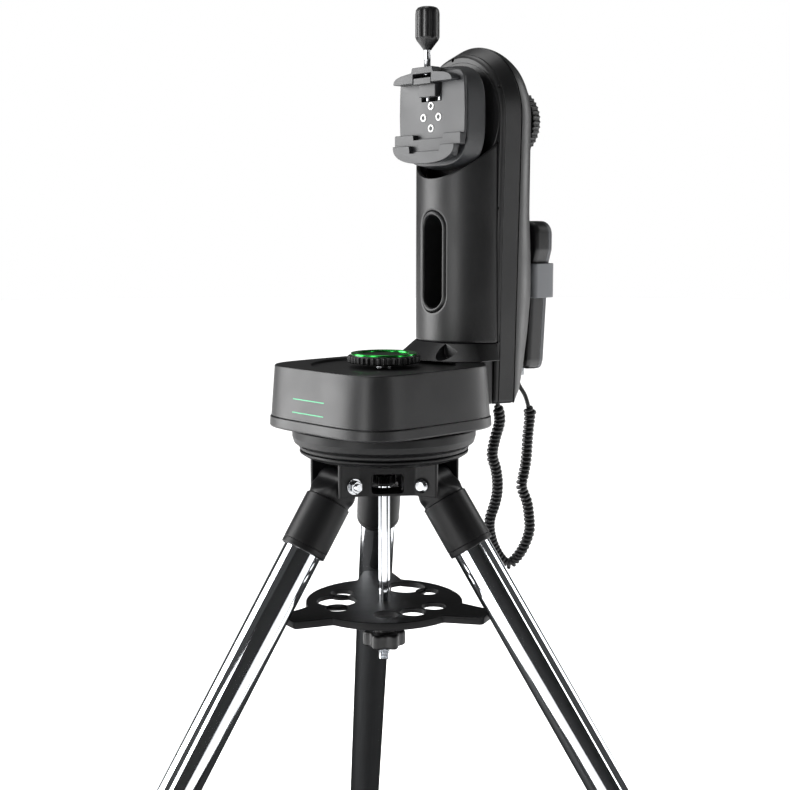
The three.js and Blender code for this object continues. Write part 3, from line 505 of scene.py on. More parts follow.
# Green anodised aluminium: dyed oxide over fine turning rings.
GREEN_ANODISED = Finish("aluminium_green_anodised", "#0e8a2c", "#18a53a", 0.24, Texture.TURNED, metallic=0.9,
                        grain_mm=0.5, relief_mm=0.01, patch_mm=20.0, coat=0.3)
# Glass-filled nylon knobs and collars: dark, faintly mottled.
NYLON = Finish("nylon_black_moulded", "#0a0a0b", "#111112", 0.36, Texture.PLAIN, grain_mm=1.2, relief_mm=0.03,
               specular=0.35)
TRAY_NYLON = Finish("nylon_tray_eroded", "#080809", "#0e0e0f", 0.5, Texture.ERODED, relief_mm=0.05,
                    specular=0.2)
RUBBER = Finish("rubber_black_moulded", "#111112", "#1d1d1e", 0.62, Texture.COATED, grain_mm=1.0, relief_mm=0.05)
CORD_JACKET = Finish("pvc_cord_jacket_extruded", "#0b0b0c", "#131314", 0.34, Texture.PLAIN, grain_mm=1.5,
                     relief_mm=0.02)
# Dark grey moulded plastic for the handset's clip and the cord collar, drawn lighter grey: the extra lightness is
# painted sheen from the right-hand light.
GREY_ABS_AND_SHEEN = Finish("abs_grey_moulded_and_painted_sheen", "#5a5c5f", "#636568", 0.45, Texture.ERODED, relief_mm=0.04)
HANDSET_ABS = Finish("abs_handset_black", "#131314", "#1a1a1b", 0.36, Texture.ERODED, grain_mm=0.6, relief_mm=0.04)
# The handset's back half: dark grey plastic, drawn lighter than the black front half partly as a painted sheen of the
# light from the right.
HANDSET_GREY_AND_SHEEN = Finish("abs_handset_dark_grey_and_painted_sheen", "#3a3b3e", "#424346", 0.4, Texture.ERODED, grain_mm=0.6, relief_mm=0.04)
KEY_RUBBER = Finish("silicone_key_grey", "#54565a", "#5e6063", 0.6, Texture.COATED, grain_mm=0.8, relief_mm=0.03)
ARROW_RUBBER = Finish("silicone_key_dark", "#2a2b2e", "#343538", 0.58, Texture.COATED, grain_mm=0.8, relief_mm=0.03)
WINDOW = Finish("acrylic_display_window", "#1c2a14", "#24331a", 0.1, Texture.PLAIN, coat=0.6, relief_mm=0.005)
CLEAR_PLUG = Finish("polycarbonate_clear", "#eef2f4", "#e4eaee", 0.06, Texture.PLAIN, ior=1.58, transmission=0.85,
                    grain_mm=3.0, relief_mm=0.01)
BOARD = Finish("glass_epoxy_board", "#14502b", "#1b5d33", 0.4, Texture.PLAIN, relief_mm=0.01)
WHITE_PRINT = Finish("white_nylon_washer", "#e9e9e7", "#dcdcda", 0.45, Texture.PLAIN, relief_mm=0.01)
GREEN_PRINT = Finish("green_pad_print", "#2f9e6b", "#38a874", 0.4, Texture.PLAIN, relief_mm=0.004)
# Blackened socket screws: a thin oxide, dark and slightly glossy.
BLACK_OXIDE = Finish("steel_black_oxide", "#1c1d1e", "#2a2b2c", 0.35, Texture.TURNED, metallic=0.8, grain_mm=0.5,
                     relief_mm=0.01, patch_mm=6.0)
# Near black: painted shade inside the base's socket openings, and the face of the black flags that only polished
# surfaces see.
SHADOW = Finish("painted_hole_shade_and_flag_black", "#050505", "#070707", 0.7, Texture.PLAIN, relief_mm=0.01)


# ------------------------------------------------------------------------------------ pieces


@dataclass
class Workshop:
    """Makes finished pieces from skins and keeps count of them."""

    made: list[str] = field(default_factory=list)

    def piece(self, skin: Skin, name: str, place: np.ndarray, finish: Finish, body: str,
              replaces: Sequence[str] = (), crease: float = 32.0, slot: str = "") -> bpy.types.Object:
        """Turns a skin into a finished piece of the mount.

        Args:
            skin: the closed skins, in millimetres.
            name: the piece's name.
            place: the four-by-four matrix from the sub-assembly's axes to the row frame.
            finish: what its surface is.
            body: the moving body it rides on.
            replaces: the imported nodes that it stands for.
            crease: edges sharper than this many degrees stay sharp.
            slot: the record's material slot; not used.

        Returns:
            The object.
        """
        local = np.concatenate(skin.points)
        world = local @ place[:3, :3].T + place[:3, 3]
        mesh = bpy.data.meshes.new(name)
        mesh.from_pydata(world.tolist(), [], skin.faces)
        work = bmesh.new()
        work.from_mesh(mesh)
        bmesh.ops.remove_doubles(work, verts=work.verts, dist=2e-6)
        bmesh.ops.dissolve_degenerate(work, edges=work.edges, dist=1e-7)
        bmesh.ops.recalc_face_normals(work, faces=work.faces)
        work.to_mesh(mesh)
        work.free()
        piece = bpy.data.objects.new(name, mesh)
        bpy.context.scene.collection.objects.link(piece)
        self.finish(piece, finish, body, replaces, crease, slot)
        return piece

    def finish(self, piece: bpy.types.Object, finish: Finish, body: str, replaces: Sequence[str],
               crease: float, slot: str) -> None:
        """Shades a piece, gives it its material and puts it on its body."""
        piece.data.shade_smooth()
        piece.data.set_sharp_from_angle(angle=math.radians(crease))
        piece.data.materials.clear()
        piece.data.materials.append(finish.material())
        even = piece.modifiers.new("even_normals", "WEIGHTED_NORMAL")
        even.keep_sharp = True
        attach(piece, body)
        if replaces:
            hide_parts(*replaces)
        self.made.append(piece.name)
        LOG.info("%s: %d faces on %s", piece.name, len(piece.data.polygons), body)

    def carve(self, piece: bpy.types.Object, cutter: Skin, place: np.ndarray, crease: float = 32.0) -> None:
        """Cuts a shape out of a piece for good."""
        local = np.concatenate(cutter.points)
        mesh = bpy.data.meshes.new("cutter")
        mesh.from_pydata((local @ place[:3, :3].T + place[:3, 3]).tolist(), [], cutter.faces)
        work = bmesh.new()
        work.from_mesh(mesh)
        bmesh.ops.remove_doubles(work, verts=work.verts, dist=2e-6)
        bmesh.ops.recalc_face_normals(work, faces=work.faces)
        work.to_mesh(mesh)
        work.free()
        tool = bpy.data.objects.new("cutter", mesh)
        bpy.context.scene.collection.objects.link(tool)
        piece.modifiers.clear()
        cut = piece.modifiers.new("cut", "BOOLEAN")
        cut.operation = "DIFFERENCE"
        cut.solver = "EXACT"
        cut.object = tool
        bpy.context.view_layer.update()
        shown = piece.evaluated_get(bpy.context.evaluated_depsgraph_get())
        result = bpy.data.meshes.new_from_object(shown)
        old = piece.data
        piece.modifiers.clear()
        piece.data = result
        result.name = piece.name
        bpy.data.meshes.remove(old)
        bpy.data.objects.remove(tool)
        bpy.data.meshes.remove(mesh)
        piece.data.shade_smooth()
        piece.data.set_sharp_from_angle(angle=math.radians(crease))
        even = piece.modifiers.new("even_normals", "WEIGHTED_NORMAL")
        even.keep_sharp = True


@dataclass
class Places:
    """Where each sub-assembly's own axes lie in the row frame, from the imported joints."""

    joints: dict[str, dict]

    @staticmethod
    def matrix(position: Sequence[float], turn: Matrix) -> np.ndarray:
        """A place from millimetres to metres at a position and a rotation."""
        made = np.eye(4)
        made[:3, :3] = np.array(turn.to_3x3()) * MM
        made[:3, 3] = position
        return made

    def hub(self) -> Vector:
        """The middle of the tripod hub's underside."""
        axis = self.joints["azimuth_turn"]["pos_m"]
        return Vector((axis[0], axis[1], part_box("tripod_hub")[0].z))

    def head_turn(self) -> float:
        """The angle of the arm round from the first row axis."""
        level = self.joints["altitude_turn"]["axis"]
        return math.atan2(-level[1], -level[0])

    def tripod(self) -> np.ndarray:
        """The axes of the hub and of all that stands still on it."""
        return self.matrix(self.hub(), Matrix.Rotation(0.0, 4, "Z"))

    def head(self) -> np.ndarray:
        """The axes of the turning base and arm: the first points from the base to the arm."""
        return self.matrix(self.hub(), Matrix.Rotation(self.head_turn(), 4, "Z"))

    def leg(self, number: int) -> np.ndarray:
        """A leg's axes at its pivot: the first points outward, the third back up the leg."""
        pivot = self.joints[f"leg_{number}_fold"]
        across = Vector(pivot["axis"])
        up = -Vector(self.joints[f"leg_{number}_extend"]["axis"])
        outward = across.cross(up)
        turn = Matrix((outward, across, up)).transposed()
        return self.matrix(pivot["pos_m"], turn)


def lathe(profile: Sequence[Sequence[float]], axis: Axis = Axis.Z, centre: Sequence[float] = (0.0, 0.0),
          corner: float = 0.6, count: int = 96, closed: bool = False) -> Grid:
    """Turns a line of (radius, height) points, with rounded corners, about a line along an axis.

    Args:
        profile: the line; from the axis and back to it, or a closed loop.
        axis: the direction of the line that it is turned about.
        centre: where that line is, in the next two axes in turn.
        corner: radius of the profile's corners.
        count: how many points make a circle.
        closed: whether the profile is a loop, as for a ring.

    Returns:
        Rows of points, one circle for each point of the line.
    """
    line = rounded(profile, corner, closed=closed, steps=3)
    return along(moved(turned(line, count), centre[0], centre[1]), axis)


def solid(outline: Outline, low: float, high: float, rounding: float, axis: Axis = Axis.Z) -> Grid:
    """Pushes an outline along an axis, with rounded edges."""
    return along(carried(outline, edge_profile(low, high, rounding)), axis)


def smooth(value: np.ndarray) -> np.ndarray:
    """Eases from 0 to 1: three times the square less twice the cube."""
    held = np.clip(value, 0.0, 1.0)
    return held * held * (3 - 2 * held)


def superellipse(half_x: np.ndarray, half_y: np.ndarray, exponent: np.ndarray, z: np.ndarray,
                 count: int = 96) -> Grid:
    """Rings whose sides flatten as the exponent grows: each coordinate is a power of a cosine or sine."""
    angle = np.arange(count) * (2 * math.pi / count)
    c, s = np.cos(angle)[None], np.sin(angle)[None]
    power = 2 / exponent[:, None]
    x = half_x[:, None] * np.sign(c) * np.abs(c) ** power
    y = half_y[:, None] * np.sign(s) * np.abs(s) ** power
    return np.stack([x, y, np.broadcast_to(z[:, None], x.shape)], axis=-1)


def hexagon(across_corners: float) -> Outline:
    """A nut's outline with just-rounded corners."""
    return rounded(circle(across_corners, 6), 0.5, closed=True, steps=3)


# ------------------------------------------------------------------------------------ tripod


@dataclass
class Tripod:
    """The hub and all that hangs on its middle: rod, nut, tray and the bowl above."""

    shop: Workshop
    places: Places
    azimuths: tuple[float, ...] = (90.0, 210.0, 330.0)
    wall: float = 40.0
    ear_tip: float = 58.0
    ear_inner: float = 19.6
    ear_outer: float = 23.5
    slot_floor: float = 24.0
    hub_top: float = 27.5
    plate_radius: float = 70.0
    rod_radius: float = 4.76
    pivot: tuple[float, float] = (45.0, 9.0)
    tray_top: float = -97.0
    tray_lobe: float = 66.0
    tray_reach: float = 94.0
    tray_holes: tuple[tuple[float, float, float], ...] = (
        (16.5, 43, 60), (9.5, 45, 30), (16.5, 40, 178), (9.5, 45, 207),
        (9.5, 42, 145), (10.5, 42, 300), (10, 45, 332), (10, 42, 268),
    )

    def build(self) -> None:
        """Makes every piece of the tripod's middle."""
        self.place = self.places.tripod()
        self.hub()
        self.bolts()
        self.rod_and_nut()
        self.tray()
        self.tray_knob()
        self.bowl()
        self.clutch()

    def hub_plan(self) -> Outline:
        """Flat walls at three sides and, at each leg, a slot between two ears."""
        corner = 2 * self.wall - self.ear_outer * math.sqrt(3)
        inner, outer, tip, floor = self.ear_inner, self.ear_outer, self.ear_tip, self.slot_floor
        leg = np.array([
            [corner, -outer], [tip, -outer], [tip, -inner], [floor, -inner],
            [floor, inner], [tip, inner], [tip, outer], [corner, outer],
        ])
        radii = [5.0, 2.2, 1.2, 3.0, 3.0, 1.2, 2.2, 5.0]
        points = [self.turn_plan(leg, azimuth) for azimuth in self.azimuths]
        return rounded(np.concatenate(points), radii * 3, closed=True, steps=5)

    @staticmethod
    def turn_plan(plan: Outline, degrees: float) -> Outline:
        """A plan turned about the hub's middle."""
        c, s = math.cos(math.radians(degrees)), math.sin(math.radians(degrees))
        return plan @ np.array([[c, s], [-s, c]])

    def hub(self) -> None:
        """The casting: ears and walls hollowed from below, with a window in each wall, under a round plate."""
        body = Skin().grid(solid(self.hub_plan(), 0, self.hub_top, 0.8))
        piece = self.shop.piece(body, "hub_casting", self.place, POWDER_COAT, "tripod", ["tripod_hub"])
        self.shop.carve(piece, Skin().grid(lathe([[0, -2], [15, -2], [14, 20], [0, 20]], corner=1.5)), self.place)
        for azimuth in self.azimuths:
            window = solid(rectangle(26, 16, 2.5, (0, 10)), 10, self.wall + 6, 0.01, Axis.X)
            cutter = Skin().grid(spun(window, math.radians(azimuth + 60)))
            self.shop.carve(piece, cutter, self.place)
        top = self.hub_top
        edge = self.plate_radius
        plate = Skin().grid(lathe(
            [[0, top - 1], [60, top - 1], [66, top + 1], [edge, top + 3.5], [edge, 33], [0, 33]], corner=1.2
        ))
        self.shop.piece(plate, "hub_top_plate", self.place, POWDER_COAT, "tripod")

    def bolts(self) -> None:
        """A pivot bolt through each pair of ears: a domed head and, across the leg, a washer and a nut."""
        outer = self.ear_outer
        for number, azimuth in enumerate(self.azimuths, 1):
            parts = [
                lathe([[0, -outer - 4.6], [3.6, -outer - 4.3], [5.9, -outer - 2.6], [6.4, -outer - 0.2],
                       [0, -outer - 0.2]], Axis.Y, self.pivot[::-1], 1.2, 48),
                lathe([[0, outer + 0.2], [6.6, outer + 0.2], [6.6, outer + 1.3], [0, outer + 1.3]],
                      Axis.Y, self.pivot[::-1], 0.3, 48),
                moved(solid(hexagon(5.4), outer + 1.2, outer + 5.6, 0.6, Axis.Y), self.pivot[0], 0, self.pivot[1]),
                lathe(self.thread(3.0, outer + 5, outer + 7.6, 0.8), Axis.Y, self.pivot[::-1], 0.0, 32),
                lathe([[0, -outer], [3, -outer], [3, outer], [0, outer]], Axis.Y, self.pivot[::-1], 0.2, 24),
            ]
            skin = Skin()
            for part in parts:
                skin.grid(spun(part, math.radians(azimuth)))
            name = f"leg_{number}_bolt"
            self.shop.piece(skin, f"{name}_turned", self.place, ZINC_STEEL, "tripod", [name])

    @staticmethod
    def thread(radius: float, low: float, high: float, pitch: float) -> np.ndarray:
        """A screw's side seen as rings: the radius dips at each pitch."""
        turns = max(int(round((high - low) / pitch)), 1)
        heights = np.linspace(low, high, turns * 2 + 1)
        radii = np.where(np.arange(len(heights)) % 2, radius, radius * 0.9)
        line = np.column_stack([radii, heights])
        return np.concatenate([[[0, low]], line, [[0, high]]])

    def rod_and_nut(self) -> None:
        """The long rod that draws the bowl down, threaded below, and its knurled nut."""
        r = self.rod_radius
        rod = Skin().grid(lathe([[0, -121], [r, -121], [r, 43], [0, 43]], corner=0.4, count=48))
        rod.grid(lathe(self.thread(r, -148, -120.5, 1.25), corner=0.0, count=40))
        self.shop.piece(rod, "centre_rod_turned", self.place, CHROME, "tripod", ["centre_rod"])
        nut = Skin().grid(solid(wavy(9.8, 0.9, 24, 192), 3.0, 10.6, 0.9))
        nut.grid(lathe([[r, 10.4], [7.6, 10.4], [7.6, 16.4], [r, 16.4]], corner=0.7, closed=True), closed=True)
        nut.grid(lathe([[r, 1.6], [8.6, 1.6], [8.6, 2.9], [r, 2.9]], corner=0.3, closed=True), closed=True)
        self.shop.piece(nut, "mount_nut_knurled", self.place, NYLON, "mount_nut", ["mount_nut"])

    def tray_outline(self) -> Outline:
        """Three round lobes between three narrow arms."""
        points, radii = [], []
        start = math.asin(20 / self.tray_lobe)
        for azimuth in self.azimuths:
            turn = math.radians(azimuth)
            sweep = turn + start + np.linspace(0, 1, 15) * (2 * math.pi / 3 - 2 * start)
            arm = self.turn_plan(np.array([[self.tray_reach, -12.0], [self.tray_reach, 12.0]]), azimuth)
            lobe = self.tray_lobe * np.stack([np.cos(sweep), np.sin(sweep)], axis=-1)
            points += [arm, lobe]
            radii += [4.0, 4.0, 3.0] + [0.0] * 13 + [3.0]
        return rounded(np.concatenate(points), radii, closed=True, steps=6)

    def tray(self) -> None:
        """A thin moulded plate with bevelled holes, a skirt, short sleeves under the holes and a boss."""
        outline = self.tray_outline()
        top = self.tray_top
        centres = [
            (radius, (reach * math.cos(math.radians(at)), reach * math.sin(math.radians(at))))
            for radius, reach, at in self.tray_holes
        ]
        loops = [outline] + [hole(circle(radius, 64, centre)) for radius, centre in centres]
        skin = Skin().plate(loops, top - 3.2, top, 0.9)
        skin.plate([outline, hole(offset(outline, 2.3))], top - 6.4, top - 0.9, 0.7)
        for radius, centre in centres:
            sleeve = [[radius - 0.2, top - 4], [radius + 1.5, top - 4], [radius + 1.7, top - 2], [radius - 0.2, top - 2]]
            skin.grid(lathe(sleeve, centre=centre, corner=0.4, closed=True, count=64), closed=True)
        skin.grid(lathe([[0, -119], [10.5, -119], [11.5, -106], [13, top - 2], [0, top - 2]], corner=1.5))
        for step in range(3):
            rib = solid(rectangle(7, 1.8, 0.3, (14.0, 0)), -105, top - 2, 0.4)
            skin.grid(spun(rib, math.radians(30 + 120 * step)))
        self.shop.piece(skin, "tray_moulding", self.place, TRAY_NYLON, "tray", ["spreader_tray"])

    def tray_knob(self) -> None:
        """A six-lobed knob under the tray with a plated washer."""
        skin = Skin().grid(solid(wavy(18, 4, 6, 144), -136.4, -123.6, 2.4))
        skin.grid(lathe([[0, -124.5], [9.4, -124.5], [9, -120.5], [0, -120.5]], corner=1.0))
        self.shop.piece(skin, "tray_knob_moulding", self.place, NYLON, "tray_knob", ["tray_knob"])
        washer = Skin().grid(lathe([[0, -120.6], [10.4, -120.6], [10.4, -119.3], [0, -119.3]], corner=0.3))
        self.shop.piece(washer, "tray_knob_washer", self.place, ZINC_STEEL, "tray_knob", slot="steel")

    def bowl(self) -> None:
        """The fixed dish that carries the turning base."""
        r = self.rod_radius + 0.5
        profile = [
            [r, 33.3], [69, 33.3], [70.2, 34.6], [70.4, 36.4], [74.6, 39.6], [76, 44.5], [76, 51.5],
            [72.5, 51.5], [72, 45], [68, 38], [16, 38], [16, 50], [8.3, 50], [8.3, 44], [r, 44],
        ]
        skin = Skin().grid(lathe(profile, corner=1.6, count=128, closed=True), closed=True)
        self.shop.piece(skin, "azimuth_bowl_casting", self.place, POWDER_COAT, "tripod", ["azimuth_bowl"])

    def clutch(self) -> None:
        """The ribbed clutch knob on the base, with a green ring let into its top."""
        knob = Skin().grid(solid(wavy(30, 1.3, 42, 420, 0.5), 104.3, 110.2, 0.9))
        knob.grid(lathe([[0, 103.6], [27, 103.6], [27, 105], [0, 105]], corner=0.3))
        knob.grid(lathe([[0, 109.5], [28.2, 109.5], [27.7, 110.9], [0, 110.9]], corner=0.4))
        self.shop.piece(knob, "azimuth_clutch_grip", self.place, NYLON, "azimuth_clutch", ["azimuth_clutch_knob"])
        ring = [[20.6, 110.5], [27.5, 110.5], [27.2, 112.4], [21.4, 112.4]]
        skin = Skin().grid(lathe(ring, corner=0.6, count=128, closed=True), closed=True)
        self.shop.piece(skin, "azimuth_clutch_trim", self.place, GREEN_ANODISED, "azimuth_clutch",
                        ["azimuth_clutch_ring"])


# ------------------------------------------------------------------------------------ legs


@dataclass
class Leg:
    """One telescopic leg; the third axis runs back up the leg from its pivot."""

    shop: Workshop
    places: Places
    number: int
    splay: float = math.radians(33)
    floor: float = -609.0
    sleeve: float = 19.0
    sleeve_end: float = -63.0
    upper_radius: float = 15.875
    lower_radius: float = 12.7
    wall: float = 1.5

    def build(self) -> None:
        """Makes the leg from its bracket down."""
        self.place = self.places.leg(self.number)
        self.bracket()
        self.tubes()
        self.collar()
        self.clamp()
        self.foot()

    def name(self, part: str) -> str:
        """A part's name on this leg."""
        return f"leg_{self.number}_{part}"

    def bracket(self) -> None:
        """The cast socket: a round sleeve that flattens into a knuckle between the hub's ears.

        The half widths and the exponent of each ring are eased from the sleeve's to the knuckle's,
        and the knuckle's top is a half circle.
        """
        end, round_top = self.sleeve_end, 11.0
        mouth_z = np.array([end + 14, end + 1.0, end + 0.2, end, end + 0.2, end + 0.9, end + 4.6, end + 5.0, end + 5.4])
        mouth_r = np.array([16.3, 16.3, 16.6, 17.2, 18.2, 18.9, 18.9, 18.5, 18.9])
        z = np.concatenate([np.linspace(end + 6, -18.3, 8), [-18.0, -17.6, -17.2], np.linspace(-16.8, 0, 17),
                            round_top * np.sin(np.linspace(0.1, math.pi / 2, 14))])
        ease = smooth((z + 16) / 15)
        step = 1.3 * smooth((z + 18.1) / 0.8) * (1 - ease)
        bulge = np.where(z > 0, np.sqrt(np.maximum(1 - (z / round_top) ** 2, 0)), 1.0)
        half_x = (self.sleeve + (round_top - self.sleeve) * ease) * bulge - step
        half_y = self.sleeve - 0.6 * ease - 1.5 * (1 - bulge) - step
        exponent = 2 + 5 * ease
        rings = superellipse(
            np.concatenate([mouth_r, half_x]), np.concatenate([mouth_r, half_y]),
            np.concatenate([np.full(len(mouth_r), 2.0), exponent]), np.concatenate([mouth_z, z]), 128,
        )
        skin = Skin().grid(rings)
        for side in (-1, 1):
            ring = [[4.2, side * 18.2], [8.4, side * 18.2], [8.4, side * 19.3], [4.2, side * 19.3]]
            skin.grid(lathe(ring, Axis.Y, corner=0.3, count=48, closed=True), closed=True)
        self.shop.piece(skin, self.name("socket_casting"), self.place, POWDER_COAT, f"leg_{self.number}",
                        [self.name("bracket")])

    def tube(self, radius: float, low: float, high: float) -> Skin:
        """A drawn tube with turned ends."""
        inner = radius - self.wall
        loop = [[inner, low], [radius, low], [radius, high], [inner, high]]
        return Skin().grid(lathe(loop, corner=0.5, count=128, closed=True), closed=True)

    def tubes(self) -> None:
        """The thick upper tube and the thin one that slides in it."""
        self.shop.piece(self.tube(self.upper_radius, -548, -22), self.name("chromed_upper"), self.place, CHROME,
                        f"leg_{self.number}", [self.name("upper_tube")])
        self.shop.piece(self.tube(self.lower_radius, -706, -300), self.name("chromed_lower"), self.place, CHROME,
                        f"leg_{self.number}_lower", [self.name("lower_tube")])

    def collar(self) -> None:
        """The moulded collar at the joint of the tubes, with a boss for its clamp screw."""
        wide, narrow = self.upper_radius + 0.15, self.lower_radius + 0.3
        loop = [[narrow, -588], [16.6, -588], [18.2, -584], [20.5, -551], [20.5, -531], [19, -528],
                [wide, -528], [wide, -548.3], [narrow, -548.3]]
        skin = Skin().grid(lathe(loop, corner=1.2, count=96, closed=True), closed=True)
        for height in (-534.0, -539.0, -544.0):
            ring = [[20.2, height - 1], [21.0, height - 0.6], [21.0, height + 0.6], [20.2, height + 1]]
            skin.grid(lathe(ring, corner=0.3, count=96, closed=True), closed=True)
        skin.grid(lathe([[0, 14.5], [9.4, 14.5], [8, 26.8], [0, 26.8]], Axis.X, (0, -570), 1.2, 48))
        self.shop.piece(skin, self.name("collar_moulding"), self.place, NYLON, f"leg_{self.number}",
                        [self.name("collar")])

    def clamp(self) -> None:
        """The five-lobed knob that locks the leg's length, on its screw."""
        grip = moved(solid(wavy(11, 2.4, 5, 120), 28, 40, 1.8, Axis.X), 0, 0, -570)
        skin = Skin().grid(grip)
        skin.grid(lathe([[0, 14], [3, 14], [3, 30], [0, 30]], Axis.X, (0, -570), 0.3, 32))
        self.shop.piece(skin, self.name("clamp_grip"), self.place, NYLON, f"leg_{self.number}_clamp",
                        [self.name("clamp_knob")])

    def foot(self) -> None:
        """A ribbed rubber boot cut level: no point lies under the plane of the floor.

        The floor in the leg's axes is where x times the splay's sine plus z times its cosine is the
        height of the pivot.
        """
        heights = [-713.0, -719.0, -725.0]
        side = [[0, -770], [19, -770], [19, -733]]
        for height in heights[::-1]:
            side += [[18.4, height - 1.8], [17.4, height - 1.0], [17.4, height + 1.0], [18.2, height + 1.8]]
        side += [[17, -700], [17, -686], [15.6, -684], [0, -684]]
        rows = lathe(side, corner=0.7, count=96)
        level = (self.floor - rows[..., 0] * math.sin(self.splay)) / math.cos(self.splay)
        rows[..., 2] = np.maximum(rows[..., 2], level)
        self.shop.piece(Skin().grid(rows), self.name("rubber_boot"), self.place, RUBBER,
                        f"leg_{self.number}_lower", [self.name("foot")])


# ------------------------------------------------------------------------------------ turning base


@dataclass
class Base:
    """The squarish drum that turns on the bowl."""

    shop: Workshop
    places: Places
    half: float = 76.0
    squareness: float = 4.4
    bottom: float = 52.0
    seam: float = 61.5
    top: float = 103.0
    draft: float = 4.0
    shift: float = -4.0
    dish: float = 60.0

    def build(self) -> None:
        """Makes the base's two halves, its sockets and its trim."""
        self.place = self.places.head()
        self.lower()
        self.cover()
        self.sockets()
        self.trim()

    def inset_at(self, z: float) -> float:
        """How far the wall has leant in at a height."""
        return self.draft * (z - self.bottom) / (self.top - self.bottom)

    def lower(self) -> None:
        """The shallow lower half under the seam."""
        outline = squircle(self.half, self.squareness, 256)
        low, high = self.bottom, self.seam - 0.4
        profile = np.array([[2.2, low], [0.9, low + 0.4], [0.2, low + 1.6], [self.inset_at(high - 1), high - 0.7],
                            [self.inset_at(high) + 0.6, high]])
        skin = Skin().grid(moved(carried(outline, rounded(profile, 0.8)), self.shift))
        self.shop.piece(skin, "base_lower_shell", self.place, ABS_SHELL, "head", ["base_housing"])

    def cover(self) -> None:
        """The deep upper half, with a crisp top edge round a shallow dish.

        Its top is a ring between the squarish outline and the dish's circle, mixed in steps.
        """
        outline = squircle(self.half, self.squareness, 256)
        low, high = self.seam, self.top
        side = rounded([[1.9, low], [0.8 + self.inset_at(low), low], [0.8 + self.inset_at(high), high],
                        [8.0 + self.inset_at(high), high]], [0, 0.7, 1.5, 0], steps=5)
        walls = carried(outline, side[:-1])
        rim = np.column_stack([circle(self.dish + 1.2, 256, (-self.shift, 0)), np.full(256, high)])
        mix = np.linspace(0, 1, 8)[1:, None, None]
        ring = walls[-1] * (1 - mix) + rim * mix
        dish = lathe([[self.dish + 1.2, high], [self.dish, high - 0.4], [self.dish - 0.6, high - 2.4], [0, high - 2.4]],
                     centre=(-self.shift, 0), corner=0.5, count=256)
        skin = Skin().grid(moved(np.concatenate([walls, ring, dish]), self.shift))
        piece = self.shop.piece(skin, "base_upper_shell", self.place, ABS_SHELL, "head", ["base_cover"])
        opening = moved(solid(rectangle(21.4, 47.4, 2.2, (81, 0)), 69.4, 90, 0.01, Axis.Y), self.shift)
        self.shop.carve(piece, Skin().grid(opening), self.place)

    def sockets(self) -> None:
        """The panel at the back with its power socket, two cord jacks and a rocker switch."""
        x = self.shift
        skin = Skin().grid(solid(rectangle(21, 47, 2, (81, x)), 69.8, 72.4, 0.5, Axis.Y))
        skin.grid(lathe([[3, 70], [5.6, 70], [5.6, 73.8], [3, 73.8]], Axis.Y, (81, x - 14), 0.5, 48, True), closed=True)
        skin.grid(solid(offset(rectangle(14, 17, 1.5, (81, x + 12)), 0), 70, 73.1, 0.5, Axis.Y))
        self.shop.piece(skin, "port_panel_moulding", self.place, NYLON, "head", ["port_panel"])
        # A dark disc deep in the power socket and a dark block in a jack's opening: painted shade of the holes'
        # insides.
        dark = Skin().grid(lathe([[0, 72.2], [3.1, 72.2], [3.1, 72.6], [0, 72.6]], Axis.Y, (81, x - 14), 0.1, 48))
        dark.grid(solid(rectangle(9, 9.5, 1, (81, x - 1)), 70, 72.7, 0.2, Axis.Y))
        self.shop.piece(dark, "port_opening_painted_shade", self.place, SHADOW, "head", slot="knob_black")
        pin = Skin().grid(lathe([[0, 70], [1, 70], [1, 73], [0, 73.4]], Axis.Y, (81, x - 14), 0.3, 24))
        self.shop.piece(pin, "power_socket_pin", self.place, ZINC_STEEL, "head", slot="steel")
        rocker = [[x + 6, 67.5], [x + 18, 67.5], [x + 18, 74.2], [x + 12, 73.0], [x + 6, 75.4]]
        outline = rounded(rocker, [0.3, 0.3, 0.8, 4, 0.8], closed=True)
        skin = Skin().grid(solid(outline, 76.2, 85.8, 0.5))
        self.shop.piece(skin, "power_rocker", self.place, RUBBER, "power_switch", ["power_switch"])

    def trim(self) -> None:
        """Two thin printed lines on the face away from the arm."""
        skin = Skin()
        for z in (67.9, 78.6):
            x = self.shift - (self.half - 0.8 - self.inset_at(z))
            skin.block((x - 0.15, x + 1.0), (-15.7, 23.0), (z - 0.4, z + 0.4), 0.1)
        self.shop.piece(skin, "base_trim_lines", self.place, GREEN_PRINT, "head", slot="green_ring")


# ------------------------------------------------------------------------------------ arm


